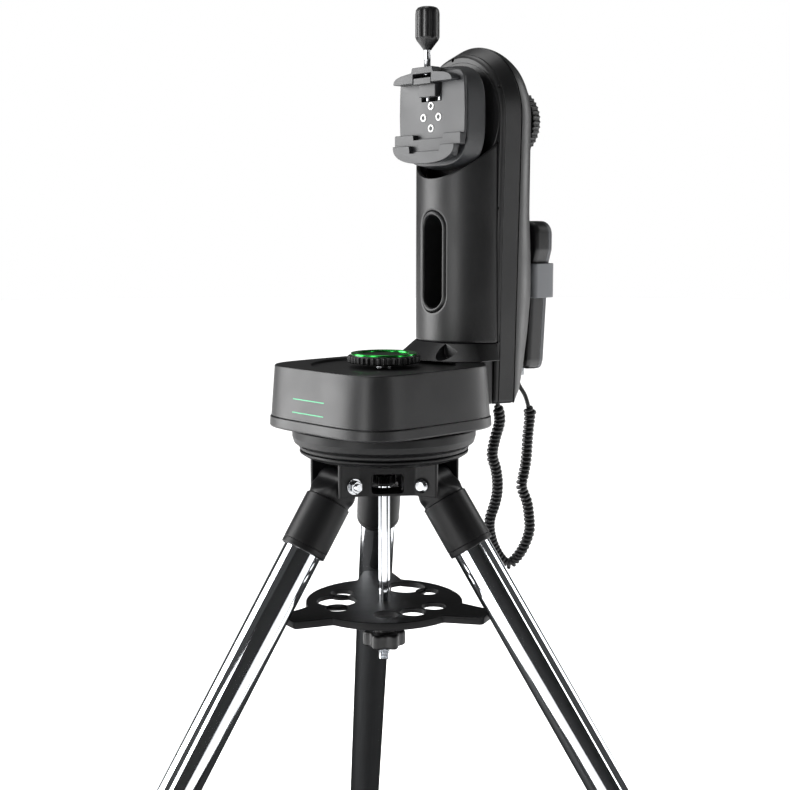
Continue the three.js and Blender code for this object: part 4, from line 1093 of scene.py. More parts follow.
@dataclass
class Arm:
    """The upright arm: foot, curved front panel, hand slot, frame, domed back and rear clutch."""

    shop: Workshop
    places: Places
    altitude: float = 305.0
    axis_x: float = 101.3
    radius: float = 47.3
    panel_bottom: float = 118.0
    panel_back: float = 88.5
    scoop: float = 50.0
    foot_radius: float = 63.6
    front: float = 86.0
    back: float = 104.0
    frame_bottom: float = 65.5
    half_front: float = 49.5
    half_back: float = 55.5
    narrowing: float = 5.5
    rise_front: float = 52.0
    rise_back: float = 61.0
    slot_z: float = 185.5
    slot_length: float = 78.0
    slot_width: float = 21.5
    slot_lip: float = 4.0
    slot_depth: float = 27.0
    wall: float = 3.0
    depths: tuple[tuple[float, float], ...] = (
        (66, 3), (74, 20), (90, 27), (125, 35), (158, 39), (190, 37), (225, 33), (305, 31),
    )

    def build(self) -> None:
        """Makes the arm from its foot up and then its back."""
        self.place = self.places.head()
        self.foot()
        self.panel()
        self.liner()
        self.frame()
        self.back_shell()
        self.rear_clutch()

    def foot(self) -> None:
        """Half a cone that flares from the panel down to the base, with a cord notch at one side.

        Each ring is an arc about the panel's axis, held within the frame's width, and closed by a
        straight back.
        """
        z = rounded([[2.0, 103.3], [0, 103.3], [0, self.panel_bottom - 0.3], [2.0, self.panel_bottom - 0.3]],
                    [0, 0.8, 0.8, 0])
        span = self.panel_bottom - 0.3 - 103.3
        radius = self.foot_radius + (self.radius - self.foot_radius) * (z[:, 1] - 103.3) / span - z[:, 0]
        end = np.arccos((self.axis_x - self.front + 0.3) / radius)
        t = np.linspace(-1, 1, 120)[None] * end[:, None]
        x, y = self.axis_x - radius[:, None] * np.cos(t), radius[:, None] * np.sin(t)
        limit = 50.2 - z[:, :1]
        y = np.clip(y, -limit, limit)
        rows = np.stack([x, y, np.broadcast_to(z[:, 1:], x.shape)], axis=-1)
        skin = Skin().grid(rows)
        piece = self.shop.piece(skin, "arm_foot_moulding", self.place, ABS_SHELL, "head", ["arm_foot"])
        notch = lathe([[0, 28], [8, 28], [8, 56], [0, 56]], Axis.X, (-22, 112), 0.5, 64)
        self.shop.carve(piece, Skin().grid(notch), self.place)
        tongue = Skin().block((74, self.front - 0.3), (-43, 43), (66, 104), 1.5)
        self.shop.piece(tongue, "arm_foot_tongue", self.place, ABS_SHELL, "head")

    def on_cylinder(self, across: np.ndarray, z: np.ndarray, depth: np.ndarray) -> np.ndarray:
        """Wraps a flat point round the panel: its distance across becomes an arc of the same length."""
        t = across / self.radius
        reach = self.radius - depth
        return np.stack([self.axis_x - reach * np.cos(t), reach * np.sin(t), z + 0 * t], axis=-1)

    def panel_outline(self) -> Outline:
        """The unrolled panel: straight sides, and a top scooped out for the saddle's drum."""
        edge = self.radius * math.acos((self.axis_x - self.panel_back) / self.radius)
        s = np.linspace(edge, -edge, 90)
        y = self.radius * np.sin(s / self.radius)
        top = self.altitude - np.sqrt(self.scoop ** 2 - y ** 2)
        low = self.panel_bottom
        corners = np.concatenate([[[edge, low]], np.column_stack([s, top]), [[-edge, low]]])
        radii = [2.5, 1.5] + [0.0] * 88 + [1.5, 2.5]
        return evened(rounded(corners, radii, closed=True, steps=5), 2.0)

    def panel(self) -> None:
        """The curved front: a skin between the hand slot and its outline, with rolled edges.

        Every ray from the slot's middle meets both outlines once, so a point is a direction and a
        share of the way between them.
        """
        outer = self.panel_outline() - [0, self.slot_z]
        angle = np.arctan2(outer[:, 1], outer[:, 0])
        first = int(np.argmin(angle))
        outer, angle = np.roll(outer, -first, axis=0), np.roll(angle, -first)
        opening = obround(self.slot_width + 2 * self.slot_lip, self.slot_length + 2 * self.slot_lip, 0, 720)
        polar = np.arctan2(opening[:, 1], opening[:, 0])
        order = np.argsort(polar)
        reach = np.interp(angle, polar[order], np.hypot(*opening[order].T), period=2 * math.pi)
        inner = reach[:, None] * np.stack([np.cos(angle), np.sin(angle)], axis=-1)
        share = np.linspace(0, 1, 30)
        roll = np.array([[0, self.wall], [0, 1.4], [0.4, 0.45], [1.4, 0]])
        rows = []
        for inset, depth in roll:
            rows.append((offset(inner[::-1], inset)[::-1], depth))
        start, finish = rows[-1][0], offset(outer, 1.0)
        rows += [(start + (finish - start) * part, 0.0) for part in share[1:]]
        rows += [(offset(outer, 0.3), 0.3), (outer, 1.0), (outer, self.wall)]
        surface = np.stack([self.on_cylinder(p[:, 0], p[:, 1] + self.slot_z, np.float64(d)) for p, d in rows])
        skin = Skin().grid(surface, closed=True)
        self.shop.piece(skin, "arm_front_skin", self.place, ABS_SHELL, "head", ["arm_front_panel"])

    def liner(self) -> None:
        """The hand slot: a rounded lip that stands a little proud, and a deep pocket behind it."""
        lip = self.slot_lip - 0.3
        steps = [
            (2.0, self.slot_depth + 3), (2.0, 4.0), (lip, 3.6), (lip, 0.8), (lip - 0.8, -0.3), (lip - 1.9, -0.7),
            (lip - 3.0, -0.2), (0.0, 1.0), (0.0, 3.0), (0.0, self.slot_depth - 1.5), (-1.5, self.slot_depth),
        ]
        line = rounded(steps, 0.5, steps=3)
        rows = []
        for grow, depth in line:
            ring = obround(self.slot_width + 2 * grow, self.slot_length + 2 * grow, self.slot_z, 160)
            x = self.axis_x - np.sqrt(self.radius ** 2 - ring[:, 0] ** 2) + depth
            rows.append(np.column_stack([x, ring]))
        skin = Skin().grid(np.stack(rows))
        self.shop.piece(skin, "hand_slot_liner", self.place, ABS_SHELL, "head", ["handle_liner"])

    def arch(self, half: float, rise: float, inset: float) -> Outline:
        """An arch: a flat foot, sides that lean out a little, and half an ellipse on top."""
        low = self.frame_bottom
        turn = np.linspace(0, math.pi, 97)
        top = np.column_stack([half * np.cos(turn), self.altitude + rise * np.sin(turn)])
        foot = half - self.narrowing
        rise_line = np.linspace(0, 1, 20)[1:-1, None]
        right = np.array([foot, low]) + (np.array([half, self.altitude]) - [foot, low]) * rise_line
        left = right[::-1] * [-1, 1]
        corners = rounded([[-foot, low + 8], [-foot, low], [foot, low], [foot, low + 8]], [0, 4, 4, 0])[1:-1]
        return offset(np.concatenate([corners, right, top, left]), inset)

    def frame(self) -> None:
        """The arch-shaped frame, which widens from its front to its back, with a groove behind its rim."""
        line = rounded([
            [3.0, 86.0], [1.3, 86.0], [0.1, 87.2], [0, 89.0], [0.7, 89.3], [0.7, 89.9], [0, 90.2],
            [0, 103.2], [0.8, 104.0], [3.0, 104.0],
        ], [0, 0.8, 0.8, 0.1, 0.1, 0.1, 0.1, 0.5, 0.5, 0], steps=3)
        rows = []
        for inset, x in line:
            share = (x - self.front) / (self.back - self.front)
            half = self.half_front + (self.half_back - self.half_front) * share
            rise = self.rise_front + (self.rise_back - self.rise_front) * share
            rows.append(along(np.column_stack([self.arch(half, rise, inset), np.full(len(self.arch(1, 1, 0)), x)]),
                              Axis.X))
        skin = Skin().grid(np.stack(rows))
        piece = self.shop.piece(skin, "arm_frame_moulding", self.place, ABS_SHELL, "head", ["arm_frame"])
        self.shop.carve(piece, self.doorway(), self.place)
        for y, z in ((8, 356.4 - 1.0), (-45.4, 230.7), (47.2, 233), (-45.0, 330), (44.6, 331)):
            hole_skin = Skin().grid(lathe([[0, 80], [1.7, 80], [1.7, 90], [0, 90]], Axis.X, (y, z - 0.6), 0.1, 32))
            self.shop.carve(piece, hole_skin, self.place)
        bearing = [[10, 85.6], [46.6, 85.6], [47.4, 86.6], [47.4, 90], [10, 90]]
        ring = Skin().grid(lathe(bearing, Axis.X, (0, self.altitude), 0.4, 128, True), closed=True)
        self.shop.piece(ring, "altitude_bearing_cover", self.place, ABS_SHELL, "head", slot="shell_black")

    def doorway(self) -> Skin:
        """The recess behind the panel: as wide as the panel with a gap, up to the round bearing seat."""
        half, seat = 45.9, self.scoop - 0.6
        end = math.acos(half / seat)
        turn = np.linspace(-end, -math.pi + end, 60)
        arc = np.column_stack([seat * np.cos(turn), self.altitude + seat * np.sin(turn)])
        low = self.panel_bottom - 0.5
        outline = np.concatenate([[[-half, low], [half, low]], arc])
        return Skin().grid(solid(outline, 80, 91.5, 0.01, Axis.X))

    def depth_at(self, z: np.ndarray) -> np.ndarray:
        """The back's depth by height: the table's straight lines, averaged over a window of 14 mm."""
        heights, depths = np.array(self.depths).T
        shifts = np.linspace(-7, 7, 9)
        return np.mean([np.interp(z + shift * (z > 80), heights, depths) for shift in shifts], axis=0)

    def dome(self, a: np.ndarray, b: np.ndarray, c: np.ndarray, inset: float = 0.0) -> np.ndarray:
        """Presses a point of a box into the back's form.

        a runs from the seam to the back, b across and c up. Each coordinate shrinks as the others
        near their limits, which turns the box's edges and corners into rounds.
        """
        half, rise = self.half_back - inset, self.rise_back - inset
        drop = self.altitude - self.frame_bottom - 0.5
        corner = 0.4
        arch = np.maximum(c, 0)
        narrow = self.narrowing * np.maximum(-c, 0)
        y = b * np.sqrt(1 - corner * a ** 2 - arch ** 2 / 2 + corner * (a * arch) ** 2 * 0.66) * (half - narrow)
        top = rise * c * np.sqrt(1 - b ** 2 / 2 - corner * a ** 2 + corner * (a * b) ** 2 * 0.66)
        z = self.altitude + np.where(c > 0, top, drop * c)
        rounding = np.sqrt(1 - corner * b ** 2 - corner * arch ** 2 + corner * (b * arch) ** 2 * 0.66)
        x = self.back + 0.3 + np.maximum(self.depth_at(z) - inset, 1) * a * rounding
        return np.stack([x, y, z], axis=-1)

    def back_shell(self) -> None:
        """The domed back: six patches of a box pressed round, and a collar where the cord leaves."""
        deep, wide, tall = np.linspace(0, 1, 13), np.linspace(-1, 1, 49), np.linspace(-1, 1, 97)
        skin = Skin()
        for first, second, build in (
            (wide, tall, lambda p, q: (np.zeros_like(p), p, q)),
            (wide, tall, lambda p, q: (np.ones_like(p), p, q)),
            (deep, tall, lambda p, q: (p, np.ones_like(p), q)),
            (deep, tall, lambda p, q: (p, -np.ones_like(p), q)),
            (deep, wide, lambda p, q: (p, q, np.ones_like(p))),
            (deep, wide, lambda p, q: (p, q, -np.ones_like(p))),
        ):
            p, q = np.meshgrid(first, second, indexing="ij")
            skin.sheet(self.dome(*build(p, q)))
        self.shop.piece(skin, "arm_back_moulding", self.place, ABS_SHELL, "head", ["arm_back_shell"], crease=50)
        collar = Skin().grid(lathe([[1.95, 62.5], [5.0, 62.5], [6.2, 66], [6.2, 78], [1.95, 78]],
                                   centre=(116, -20), corner=0.6, count=48, closed=True), closed=True)
        self.shop.piece(collar, "cord_socket_collar", self.place, GREY_ABS_AND_SHEEN, "head", slot="bracket_grey")

    def rear_clutch(self) -> None:
        """The ribbed knob behind the arm that frees the saddle."""
        centre = (0.0, self.altitude)
        skin = Skin()
        skin.grid(moved(solid(wavy(30, 1.3, 42, 420, 0.5), 148, 157, 1.1, Axis.X), 0, 0, self.altitude))
        skin.grid(lathe([[0, 136.5], [15, 136.5], [15, 143], [20, 148.5], [0, 148.5]], Axis.X, centre, 0.8, 96))
        skin.grid(lathe([[0, 156], [25, 156], [24.4, 157.6], [0, 157.6]], Axis.X, centre, 0.5, 96))
        self.shop.piece(skin, "altitude_clutch_grip", self.place, NYLON, "altitude_clutch", ["altitude_clutch_knob"])


# ------------------------------------------------------------------------------------ saddle


@dataclass
class Saddle:
    """The drum that tilts, its dovetail plate and jaws, and the clamp."""

    shop: Workshop
    places: Places
    altitude: float = 305.0
    face: float = 53.0
    drum: tuple[float, float] = (56.3, 74.0)
    drum_half: float = 42.5
    jaw: float = 41.3
    floor: float = 290.0
    roof: float = 329.0
    clamp_x: float = 48.5

    def build(self) -> None:
        """Makes the saddle from its drum outwards."""
        self.place = self.places.head()
        self.body()
        self.plate()
        self.lower_jaw()
        self.upper_jaw()
        self.inserts()
        self.clamp()

    def up(self, outline: Outline) -> Outline:
        """An outline about the tilting axis, moved to its height."""
        return outline + [0, self.altitude]

    def pocket(self) -> Skin:
        """The recess for the sliding jaw."""
        outline = rectangle(24.4, 25, 1.0, (-0.4, 330.3))
        return Skin().grid(solid(outline, self.face - 6, 64, 0.01, Axis.X))

    def body(self) -> None:
        """The squarish drum and the round neck behind it: one outline mixed into the other."""
        low, high = self.drum
        outline = self.up(squircle(self.drum_half, 3.2, 224))
        side = rounded([[6.0, low], [2.5, low], [0.0, high - 1.5], [0.0, high], [8.0, high]], [0, 1.4, 2.5, 2.0, 0],
                       steps=5)
        walls = carried(outline, side)
        circles = lathe([[33.0, high], [30.0, high + 1.5], [30.0, 85.7], [28, 85.7]], centre=(0, self.altitude),
                        corner=0.8, count=224)
        mix = np.linspace(0, 1, 5)[1:-1, None, None]
        ring = walls[-1] * (1 - mix) + circles[0] * mix
        skin = Skin().grid(along(np.concatenate([walls, ring, circles]), Axis.X))
        piece = self.shop.piece(skin, "saddle_drum_casting", self.place, SADDLE_PAINT, "saddle", ["saddle_drum"])
        self.shop.carve(piece, self.pocket(), self.place)

    def plate(self) -> None:
        """The flat plate that the dovetail rests on, its sides bowed out a little."""
        corners = [[37.0, 284], [38.4, 294], [38.8, 308], [38.4, 324], [37.0, 342],
                   [-37.6, 342], [-39.0, 324], [-39.6, 308], [-39.2, 294], [-38.0, 284]]
        outline = rounded(corners, [4, 60, 60, 60, 9, 9, 60, 60, 60, 4], closed=True, steps=8)
        skin = Skin().grid(solid(outline, self.face, 55.9, 0.8, Axis.X))
        piece = self.shop.piece(skin, "saddle_plate_casting", self.place, SADDLE_PAINT, "saddle", ["saddle_plate"])
        self.shop.carve(piece, self.pocket(), self.place)

    def ledge(self, half: float, top: float, drop: float, notch: float, low: float, high: float) -> Grid:
        """A jaw's step: a top lower in its middle than at its ends, and a softly squared round bottom.

        The bottom's width and depth are powers of a cosine and a sine, 0.84 each.
        """
        turn = np.linspace(math.pi, 2 * math.pi, 60)
        c, s = np.cos(turn), np.sin(turn)
        bottom = np.column_stack([half * np.sign(c) * np.abs(c) ** 0.84, top - 0.6 + drop * np.sign(s) * np.abs(s) ** 0.84])
        line = [[half, top], [16.4, top], [15.6, top - notch], [-19.2, top - notch], [-20.4, top], [-half, top]]
        outline = np.concatenate([rounded(line, [0, 0.8, 0.6, 0.6, 0.8, 0], steps=3), bottom])
        return solid(outline, low, high, 0.5, Axis.X)

    def lower_jaw(self) -> None:
        """Two ledges, one in front of the other, each with a small pocket at one end of its middle."""
        skin = Skin().plate([self.band()], 47.6, self.face + 0.6, 0.5, Axis.X)
        piece = self.shop.piece(skin, "saddle_ledge_back", self.place, SADDLE_PAINT, "saddle", ["saddle_lower_jaw"])
        self.shop.carve(piece, Skin().block((40, 51), (8.0, 16.0), (286.6, 296), 0.3), self.place)
        skin = Skin().grid(self.ledge(36.6, self.floor - 8.2, 14.4, 4.9, 43.0, 47.8))
        piece = self.shop.piece(skin, "saddle_ledge_front", self.place, SADDLE_PAINT, "saddle")
        self.shop.carve(piece, Skin().block((40, 46.2), (8.0, 16.0), (275.4, 286), 0.3), self.place)

    def band(self) -> Outline:
        """The back ledge: a level band with raised ends, deeper in its middle where the front one covers it."""
        top, low = self.floor + 1.1, self.floor - 8.6
        corners = [[39.0, low], [39.0, top], [16.4, top], [15.6, top - 3.8], [-19.0, top - 3.8], [-20.0, top],
                   [-39.6, top], [-39.6, low], [-33.0, low], [-30.0, 272], [30.0, 272], [33.0, low]]
        return rounded(corners, [1.2, 1.2, 0.8, 0.5, 0.5, 0.8, 1.2, 1.2, 1, 2, 2, 1], closed=True, steps=3)

    def upper_jaw(self) -> None:
        """The fixed upper jaw: a low arch with a raised boss, notched for the sliding jaw."""
        wing = [[10.8, 27.6], [35.0, 27.6], [34.6, 30.4], [31.6, 32.8], [26.0, 34.5], [13.0, 36.2], [11.8, 40.2]]
        left = [[-v, z] for v, z in wing[::-1]]
        corners = np.array(wing + left + [[-10.8, 35.0], [10.8, 35.0]]) + [1.3, self.altitude]
        radii = [0.8, 1.4, 5, 8, 12, 0.6, 1.0]
        outline = rounded(corners, radii + radii[::-1] + [0.4, 0.4], closed=True, steps=5)
        skin = Skin().plate([outline], 43.2, self.face - 0.3, 0.45, Axis.X)
        self.shop.piece(skin, "saddle_upper_jaw_casting", self.place, SADDLE_PAINT, "saddle", ["saddle_upper_jaw"])
        slide = Skin().block((43.4, 50.8), (-9.2, 11.6), (331.4, 336.6), 0.5)
        slide.block((48.6, 55.8), (-9.2, 10.6), (321.4, 334), 0.6)
        self.shop.piece(slide, "sliding_jaw_casting", self.place, SADDLE_PAINT, "clamp_jaw", ["sliding_jaw"])
        pins = Skin()
        for y in (6.0, -8.0):
            pins.grid(lathe([[0, 318.4], [1.8, 318.4], [1.8, 325], [0, 325.6]], Axis.Z, (55.6, y), 0.4, 32))
        self.shop.piece(pins, "jaw_guide_pins", self.place, ZINC_STEEL, "saddle", slot="steel")

    def inserts(self) -> None:
        """Four threaded inserts in white bushes on the plate."""
        bushes, screws = Skin(), Skin()
        for y, z in ((0.0, 314.3), (0.0, 296.0), (9.0, 305.0), (-9.0, 305.0)):
            bushes.grid(lathe([[1.9, 52.4], [3.2, 52.4], [3.2, 53.3], [1.9, 53.3]], Axis.X, (y, z), 0.2, 40, True),
                        closed=True)
            screws.grid(lathe([[0, 52.8], [1.95, 52.8], [1.95, 53.4], [0, 53.4]], Axis.X, (y, z), 0.1, 24))
        self.shop.piece(bushes, "plate_bushes", self.place, WHITE_PRINT, "saddle", slot="saddle_black")
        self.shop.piece(screws, "plate_screws", self.place, BLACK_OXIDE, "saddle", slot="steel")

    def clamp(self) -> None:
        """The clamp screw and its fluted grip."""
        centre = (self.clamp_x, 0.0)
        screw = Skin().grid(lathe(Tripod.thread(2.8, 339, 352, 1.0), centre=centre, corner=0.0, count=40))
        screw.grid(lathe([[0, 351.6], [2.6, 351.6], [2.6, 362], [0, 362]], centre=centre, corner=0.3, count=40))
        self.shop.piece(screw, "clamp_screw_turned", self.place, ZINC_STEEL, "clamp_screw", ["clamp_screw"])
        z = np.array([359, 359.3, 360, 363, 366.6, 368.4, 369.4, 388.0, 391.0, 392.8, 393.4])
        r = np.array([2.9, 3.4, 3.8, 6.0, 8.9, 9.7, 10.0, 10.0, 9.5, 8.0, 6.2])
        flute = np.array([0, 0, 0, 0, 0.1, 0.6, 1.15, 1.15, 0.9, 0.3, 0.0])
        angle = np.arange(192) * (2 * math.pi / 192)
        dip = (0.5 - 0.5 * np.cos(8 * angle))[None] ** 1.6
        reach = r[:, None] - flute[:, None] * dip
        rows = np.stack([reach * np.cos(angle), reach * np.sin(angle), np.broadcast_to(z[:, None], reach.shape)], -1)
        grip = Skin().grid(moved(rows, self.clamp_x))
        self.shop.piece(grip, "clamp_grip", self.place, NYLON, "clamp_screw", ["clamp_handle"], crease=40)


# ------------------------------------------------------------------------------------ hand controller


@dataclass
class HandController:
    """The keypad in its cradle behind the arm."""

    shop: Workshop
    places: Places
    front: float = 146.5
    back: float = 168.0
    bottom: float = 89.0
    top: float = 220.0
    pad_z: float = 166.0
    pad_radius: float = 17.0

    def build(self) -> None:
        """Makes the cradle, the case, the keys and the plug."""
        self.place = self.places.head()
        self.cradle()
        self.case()
        self.keys()
        self.plug()

    def outline(self) -> Outline:
        """The case's outline: a wide head, a waist and a narrow foot."""
        right = [[26, self.bottom], [28.5, 97], [33.2, 182], [37, 195], [37, self.top]]
        left = [[-y, z] for y, z in right[::-1]]
        radii = [7, 14, 16, 10, 13]
        return rounded(right + left, radii + radii[::-1], closed=True, steps=8)

    def cradle(self) -> None:
        """The clip, grey in part as painted sheen: a band round three sides of the case, and a pad on the arm."""
        lo, hi = self.front - 2.4, self.back + 2.4
        plan = [[hi, -26.5], [hi, -37], [lo, -37], [lo, 37], [hi, 37], [hi, 26.5],
                [hi - 2.1, 26.5], [hi - 2.1, 34.7], [lo + 2.1, 34.7], [lo + 2.1, -34.7], [hi - 2.1, -34.7],
                [hi - 2.1, -26.5]]
        outline = rounded(plan, [1, 4, 4, 4, 4, 1, 1, 2.2, 2.2, 2.2, 2.2, 1], closed=True)[::-1]
        skin = Skin().plate([outline], 153, 183, 0.7)
        skin.block((self.front - 8, self.front - 2), (-12, 12), (158, 178), 1.0)
        self.shop.piece(skin, "handset_cradle", self.place, GREY_ABS_AND_SHEEN, "head", ["handset_bracket"])

    def case(self) -> None:
        """Two halves with a groove between them, the back one softly domed: the front half black, the back one dark
        grey, lighter in part as painted sheen.
        """
        outline = self.outline()
        middle = self.front + 14.2
        front = rounded([[9.0, self.front], [3.0, self.front + 0.5], [0.6, self.front + 3.0], [0.0, middle - 0.5],
                         [0.8, middle], [6.0, middle]], [0, 3, 4, 0.3, 0.2, 0], steps=4)
        half = Skin().grid(along(carried(outline, front), Axis.X))
        self.shop.piece(half, "handset_back_case", self.place, HANDSET_ABS, "handset", slot="knob_black")
        rear = rounded([[6.0, middle - 0.3], [0.8, middle - 0.2], [0.1, middle + 0.5], [0.1, self.back - 2.6],
                        [2.7, self.back], [8.0, self.back]], [0, 0.2, 0.3, 1.5, 1.5, 0], steps=4)
        skin = Skin().grid(along(carried(outline, rear), Axis.X))
        piece = self.shop.piece(skin, "handset_case", self.place, HANDSET_GREY_AND_SHEEN, "handset", ["handset_body"])
        window = solid(rectangle(52, 18, 2, (0, 199)), self.back - 2.4, self.back + 2, 0.01, Axis.X)
        self.shop.carve(piece, Skin().grid(window), self.place)
        numbers = solid(rectangle(41, 43, 3, (0, 123)), self.back - 3.2, self.back + 2, 0.01, Axis.X)
        self.shop.carve(piece, Skin().grid(numbers), self.place)
        well = lathe([[0, self.back - 3.0], [17.5, self.back - 3.0], [17.5, self.back + 2], [0, self.back + 2]],
                     Axis.X, (0, self.pad_z), 0.05, 96)
        self.shop.carve(piece, Skin().grid(well), self.place)
        glass = Skin().grid(solid(rectangle(51.4, 17.4, 1.8, (0, 199)), self.back - 2.4, self.back - 0.5, 0.3, Axis.X))
        self.shop.piece(glass, "handset_window", self.place, WINDOW, "handset", ["handset_display"])

    def keys(self) -> None:
        """A ring of four arrow keys, and twelve keys in four rows."""
        arrows = Skin()
        level = self.back
        for step in range(4):
            start = math.radians(45 + 90 * step) + 0.06
            turn = np.linspace(start, start + math.pi / 2 - 0.12, 16)
            outer = self.pad_radius * np.column_stack([np.cos(turn), np.sin(turn)])
            inner = 7.0 * np.column_stack([np.cos(turn), np.sin(turn)])[::-1]
            key = np.concatenate([outer, inner]) + [0, self.pad_z]
            arrows.grid(solid(key, level - 1.6, level + 0.9, 0.6, Axis.X))
        self.shop.piece(arrows, "arrow_key_ring", self.place, ARROW_RUBBER, "arrow_keys", ["handset_arrow_keys"])
        numbers = Skin().grid(solid(rectangle(40, 42, 2, (0, 123)), level - 1.8, level - 1.0, 0.2, Axis.X))
        for row in range(4):
            for column in range(3):
                centre = (-13.5 + column * 13.5, 107.5 + row * 10.3)
                numbers.grid(solid(rectangle(9.4, 7.0, 2.4, centre), level - 1.4, level + 0.9, 0.7, Axis.X))
        self.shop.piece(numbers, "number_key_mat", self.place, KEY_RUBBER, "number_keys", ["handset_number_keys"])

    def plug(self) -> None:
        """The clear plug at the end of the cord, with its latch."""
        skin = Skin().block((153.1, 160.9), (-10.9, -1.1), (82.5, 97.2), 0.5)
        skin.block((154.6, 159.4), (-8.9, -3.1), (79.2, 83), 0.6)
        skin.block((151.9, 153.4), (-7.4, -4.6), (80.5, 92), 0.4)
        self.shop.piece(skin, "cord_plug_clear", self.place, CLEAR_PLUG, "handset", ["handset_plug"])


@dataclass
class Cord:
    """The curled cord from the arm's socket down, round and up to the controller's plug."""

    shop: Workshop
    places: Places
    diameter: float = 3.8
    coil_outer: float = 10.4
    pitch: float = 3.95
    points_per_turn: int = 16
    sides: int = 10
    route: tuple[tuple[float, float, float], ...] = (
        (116, -20, 66.3), (116, -20, 63), (116, -20, 59.5), (121, -18, 45), (121.5, -12, 28), (122.5, -8, 13),
        (128, -7.6, -1), (132, -6, -16), (134, -2, -31), (133.5, 4, -47.5), (135.5, 6.6, -59),
        (140.5, 6.8, -73.5), (147, 3.6, -87), (154, 0, -93.5), (160.5, -4, -88), (164.5, -9, -78),
        (168, -12.5, -64), (168, -12.9, -54), (165.5, -12, -36), (161, -9, -21), (162, -10, -11),
        (164, -11.5, 5), (165, -12, 25), (166, -13.4, 46), (164, -12.7, 55), (162, -10.5, 64),
        (158, -7, 73), (157, -6, 78.9),
    )
    coil_from: int = 1
    coil_to: int = 24

    def middle_line(self) -> tuple[np.ndarray, np.ndarray]:
        """The route as one smooth curve.

        Each span is a Catmull-Rom cubic through its two points, leaning on the ones before and
        after, and the result is sampled evenly along its length.

        Returns:
            The samples, and the length of the curve at each route point.
        """
        p = np.asarray(self.route, float)
        padded = np.concatenate([2 * p[:1] - p[1:2], p, 2 * p[-1:] - p[-2:-1]])
        t = np.linspace(0, 1, 60, endpoint=False)[:, None, None]
        a, b, c, d = (padded[i:len(p) - 1 + i][None] for i in range(4))
        spans = 0.5 * (2 * b + (c - a) * t + (2 * a - 5 * b + 4 * c - d) * t ** 2 + (3 * b - a - 3 * c + d) * t ** 3)
        dense = np.concatenate([spans.transpose(1, 0, 2).reshape(-1, 3), p[-1:]])
        reach = np.concatenate([[0], np.cumsum(np.linalg.norm(np.diff(dense, axis=0), axis=1))])
        return np.column_stack([reach, dense]), reach[::60]

    def centreline(self) -> tuple[np.ndarray, np.ndarray]:
        """The wire's own centreline: a helix round the route, easing to the route at its two ends.

        Returns:
            Its points, and at each the direction out from the route.
        """
        table, marks = self.middle_line()
        coil = (self.coil_outer - self.diameter) / 2
        step = self.pitch / self.points_per_turn
        s = np.arange(0, table[-1, 0], step)
        line = np.stack([np.interp(s, table[:, 0], table[:, i]) for i in (1, 2, 3)], axis=-1)
        start, stop = marks[self.coil_from] + 1.5, marks[self.coil_to]
        radius = coil * smooth((s - start) / 7.0) * smooth((stop - s) / 7.0)
        last = np.exp(-((s - (stop - 6.5)) / 3.0) ** 2)
        radius = radius * (1 + 0.28 * last)
        tangent = np.gradient(line, axis=0)
        tangent /= np.linalg.norm(tangent, axis=1, keepdims=True)
        across = np.array([0.0, 1.0, 0.0]) - tangent * tangent[:, 1:2]
        across /= np.linalg.norm(across, axis=1, keepdims=True)
        other = np.cross(tangent, across)
        phase = 2 * math.pi * (np.clip(s, start, stop) - start) / self.pitch
        outward = across * np.cos(phase)[:, None] + other * np.sin(phase)[:, None]
        return line + outward * radius[:, None], outward

    def build(self) -> None:
        """Makes the cord: a circle carried along its centreline."""
        self.place = self.places.head()
        line, outward = self.centreline()
        tangent = np.gradient(line, axis=0)
        tangent /= np.linalg.norm(tangent, axis=1, keepdims=True)
        first = outward - tangent * np.sum(outward * tangent, axis=1, keepdims=True)
        first /= np.linalg.norm(first, axis=1, keepdims=True)
        second = np.cross(tangent, first)
        angle = np.arange(self.sides) * (2 * math.pi / self.sides)
        ring = first[:, None] * np.cos(angle)[None, :, None] + second[:, None] * np.sin(angle)[None, :, None]
        skin = Skin().grid(line[:, None] + ring * (self.diameter / 2))
        piece = self.shop.piece(skin, "curled_cord", self.place, CORD_JACKET, "head", ["handset_cord"], crease=60)
        path = line @ self.place[:3, :3].T + self.place[:3, 3]
        length = float(np.sum(np.linalg.norm(np.diff(path, axis=0), axis=1)))
        LOG.info("cord: %.3f m of wire in %.0f turns", length, length / (MM * 21.2))


# ------------------------------------------------------------------------------------ studio


